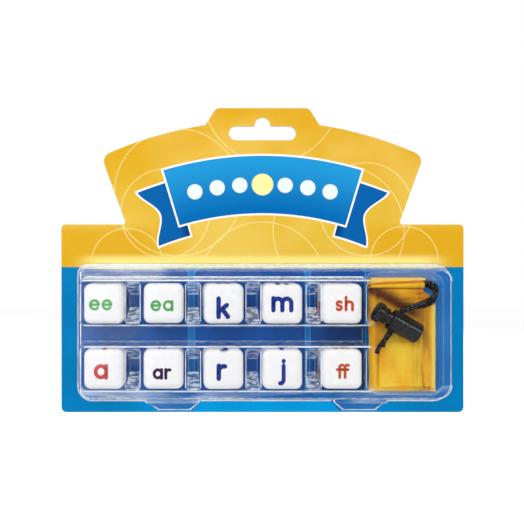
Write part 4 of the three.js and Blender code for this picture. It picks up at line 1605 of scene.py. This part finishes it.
def wrinkle(across, up, layer):
    """Soft waves and sharper creases that run mostly along the bag."""
    wide, tall = SOFT_WAVES
    aside, apart = SOFT_STEPS
    spot = Vector((across * wide + layer * aside, up * tall, layer * apart))
    soft = waves(*spot) + SMALL_WAVE_SHARE * waves(*(spot * SMALL_WAVES))
    over, under, both = SLANT_WAVES
    slanted = (across * over - up * under, up * both + across * both)
    slant = waves(*slanted, SLANT_START + layer)
    wavy = waves(across * WAVER_WAVES, up * WAVER_WAVES, layer * WAVER_STEP)
    waver = CREASE_WAVER * wavy
    creases = FINE_CREASE_SHARE * fold_line(slant, FINE_CREASE_WIDTH)
    for middle, slope, width in BAG_CREASES:
        along = up - BAG_LOW.y - middle * (BAG_HIGH.y - BAG_LOW.y)
        side = (across - BAG_LOW.x) * slope
        creases += fold_line(along - side + waver, width)
    for middle, width, depth in BAG_PLEATS:
        side = across - BAG_LOW.x - middle * (BAG_HIGH.x - BAG_LOW.x)
        creases += depth * fold_line(side + waver, width)
    return WRINKLE_DEPTH * (SOFT_SHARE * (soft - SOFT_DROP) - creases)


def press_under_lock(across, up, depth):
    """Pushes the layers together under the cord lock."""
    share = (lock_limit(across, up) - BAG_LOW.z) / (BAG_HIGH.z - BAG_LOW.z)
    return across, up, BAG_LOW.z + (depth - BAG_LOW.z) * min(share, 1.0)


def layer_points(layer, height, pitch):
    """One layer's points at a share of the bag's height, and its turn into the next layer."""
    share = layer / (BAG_LAYERS - 1)
    inset = bag_inset(share)
    stagger = BAG_STAGGER * waves(layer * STAGGER_STEP, *STAGGER_START)
    bottom = BAG_LOW.y + inset + BAG_FOOT_RISE + stagger
    top = BAG_HIGH.y - inset * eased(share, *BAG_TOP_SPAN) + BAG_TOP_TUCK
    up = bottom + (top - bottom) * height
    waver = BAG_SIDE_WAVER * waves(up * SIDE_WAVES, layer * SIDE_STEP, SIDE_START)
    left = BAG_LOW.x + inset + pitch / 2 + waver
    right = bag_right_edge(up, inset) - pitch / 2 + waver - BAG_SIDE_STEP * (layer % 2)
    base = BAG_LOW.z + BAG_BACK_ROOM + layer * pitch
    start, end, sign = (left, right, 1) if layer % 2 == 0 else (right, left, -1)
    points = []
    for column in range(BAG_COLUMNS + 1):
        part = column / BAG_COLUMNS
        across = start + (end - start) * part
        edge = eased(min(part, 1 - part), 0.0, BAG_EDGE_FADE)
        points.append((across, up, base + edge * share * wrinkle(across, up, layer)))
    if layer < BAG_LAYERS - 1:
        for step in range(1, BAG_TURN_STEPS):
            turn = math.pi * step / BAG_TURN_STEPS
            across = end + sign * 0.5 * pitch * math.sin(turn)
            points.append((across, up, base + 0.5 * pitch * (1 - math.cos(turn))))
    return points


def bag_grid():
    """The folded cloth as rows of points: one long strip, folded to and fro."""
    pitch = (BAG_HIGH.z - BAG_LOW.z - 2 * BAG_BACK_ROOM) / (BAG_LAYERS - 1)
    grid = []
    for row in range(BAG_ROWS):
        line = []
        for layer in range(BAG_LAYERS):
            line += layer_points(layer, row / (BAG_ROWS - 1), pitch)
        grid.append([press_under_lock(*point) for point in line])
    return grid


def hem_section(share):
    """The rolled hem's section at a share of its length, as (up, depth) points."""
    front = HEM_HIGH.z
    crease = HEM_HIGH.y - HEM_CREASE_DROP + HEM_CREASE_RISE * share
    lip = HEM_LIP * (1 - LIP_SINK * eased(share, *LIP_END))

    def placed(up, depth):
        side = HEM_LOW.y if up > 0 else HEM_HIGH.y
        face = HEM_LOW.z if depth > 0 else HEM_HIGH.z
        return side + up, face + depth

    return [
        *[placed(*point) for point in HEM_BELOW],
        (HEM_LOW.y + HEM_LIP_FOOT[0], front + HEM_LIP_FOOT[1] + lip),
        (crease + HEM_LIP_EDGE[0], front + HEM_LIP_EDGE[1] + lip),
        *[(crease + up, front + depth) for up, depth in HEM_CREASE],
        *[placed(*point) for point in HEM_ABOVE],
    ]


def hem_grid():
    """The hem's sections, as rows of points."""
    wide, tall = HEM_WAVES
    start = HEM_LOW.x + HEM_START_ROOM
    end = CORD_ROUTE[0][0] + CORD_GAP
    grid = []
    for row in range(HEM_ROWS):
        share = row / (HEM_ROWS - 1)
        across = start + (end - start) * share
        section = [Vector(point) for point in hem_section(share)]
        line = []
        for up, depth in smooth_path(section, HEM_STEPS):
            waver = HEM_WAVER * waves(across * wide, up * tall, depth * tall)
            line.append((across, up + waver / 2, depth - abs(waver)))
        grid.append(line)
    return grid


def add_cloth(name, grid, material):
    """A sheet through the rows of a grid."""
    points = [point for line in grid for point in line]
    return add_piece(name, points, grid_faces(len(grid), len(grid[0])), material)


def add_bag():
    cloth = bag_cloth()
    bag = add_cloth("bag_folded_cloth", bag_grid(), cloth)
    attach(bag, "bag")
    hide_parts("bag_body")

    hem = add_cloth("bag_hem_cloth", hem_grid(), cloth)
    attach(hem, "bag")
    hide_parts("bag_hem")


# Stage

# Each lamp: its place, the point it faces, its size and its power, in the frame's own axes
LAMPS = {
    "key": ((-0.42, -0.85, 0.4), (0, 0, -0.07), (0.4, 0.4), 3.4),
    "left": ((-0.36, -1.0, -0.2), (0, 0, -0.07), (0.42, 0.6), 1.1),
    "fill": ((0.62, -0.9, 0.22), (0, 0, -0.1), (0.18, 0.24), 1.5),
    "left_side": ((-0.8, -0.3, -0.1), (0, 0, -0.1), (0.3, 0.4), 0.9),
    "right_side": ((0.8, -0.4, -0.1), (0, 0, -0.1), (0.3, 0.4), 0.7),
    "top": ((-0.1, -0.3, 0.6), (0, 0, -0.07), (0.7, 0.3), 1.2),
    "back": ((0.3, 0.95, 0.3), (0, 0, -0.07), (0.5, 0.5), 4.0),
}
# Where reflections turn from the camera's dim side to the bright side behind the pack
MIRRORED_TURN = (-0.3, 0.5)
FLOOR_GREYS = ((0.78, 0.78, 0.78, 1), (0.82, 0.82, 0.82, 1))
GLOW_REACH = (FLOOR_SIZE / 20, FLOOR_SIZE / 3)
NEAREST_SEEN = VIEW_DISTANCE / 100


def add_camera():
    data = bpy.data.cameras.new("camera")
    data.sensor_width = SENSOR_MM
    data.lens = SENSOR_MM * VIEW_DISTANCE / VIEW_WIDTH
    data.shift_x = SHIFT_ACROSS
    data.shift_y = SHIFT_UP
    data.clip_start = NEAREST_SEEN
    camera = add_object("camera", data)
    camera.location = place(CAMERA_ACROSS, CAMERA_UP, VIEW_DISTANCE + FACE_DEPTH)
    camera.rotation_euler = (math.pi / 2, 0, 0)
    bpy.context.scene.camera = camera


def add_lamp(name, position, target, size, power):
    data = bpy.data.lights.new(name, "AREA")
    data.shape = "RECTANGLE"
    data.size, data.size_y = size
    data.energy = power
    lamp = add_object(name, data)
    lamp.location = position
    aim = Vector(target) - Vector(position)
    lamp.rotation_euler = aim.to_track_quat("-Z", "Y").to_euler()


def add_world():
    """White to the camera; in reflections bright behind the pack and dim on the camera's side."""
    shader = Shader(bpy.data.worlds.new("studio"), "Background")
    _, behind, _ = shader.axes(shader.add("TexCoord", output="Generated"))
    mirrored = behind.ramp(*MIRRORED_TURN, CAMERA_SIDE_LIGHT, 1.0, "LINEAR")
    glossy = shader.add("LightPath", output="Is Glossy Ray")
    lit = glossy.ramp(0, 1, SKY_LIGHT, mirrored, "LINEAR")
    seen = shader.add("LightPath", output="Is Camera Ray")
    strength = seen.ramp(0, 1, lit, 1.0, "LINEAR")
    bpy.context.scene.world = shader.finish({"Color": (1, 1, 1, 1), "Strength": strength})


def add_floor():
    """A pale floor that looks white to the camera."""
    shader = new_material("floor")
    pale = shader.clouds(scale=3, detail=2).mix(*FLOOR_GREYS)
    diffuse = shader.add("BsdfDiffuse", {"Color": pale})
    point = shader.add("TexCoord", output="Object")
    distance = shader.add("VectorMath", {0: point}, "Value", operation="LENGTH")
    seen = shader.add("LightPath", output="Is Camera Ray")
    strength = seen * distance.ramp(*GLOW_REACH, NEAR_GLOW, FAR_GLOW)
    glow = shader.add("Emission", {"Strength": strength})
    material = shader.finish_in(shader.add("AddShader", {0: diffuse, 1: glow}))
    half = FLOOR_SIZE / 2
    corners = [(-half, -half), (half, -half), (half, half), (-half, half)]
    points = [(across, -FLOOR_DROP, depth) for across, depth in corners]
    floor = add_piece("floor", points, [(3, 2, 1, 0)], material, smooth=False)


def add_studio():
    add_world()
    add_floor()
    for name, settings in LAMPS.items():
        add_lamp(name, *settings)
    bpy.context.scene.view_settings.view_transform = "Standard"


def print_card(node, material):
    """Gives a card layer its print."""
    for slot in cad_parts[node].material_slots:
        slot.material = material


add_camera()
add_drawcord()
add_bag()
add_dice()
add_blister()
print_card("card_front", front_print())
print_card("card_back", back_print())
add_studio()
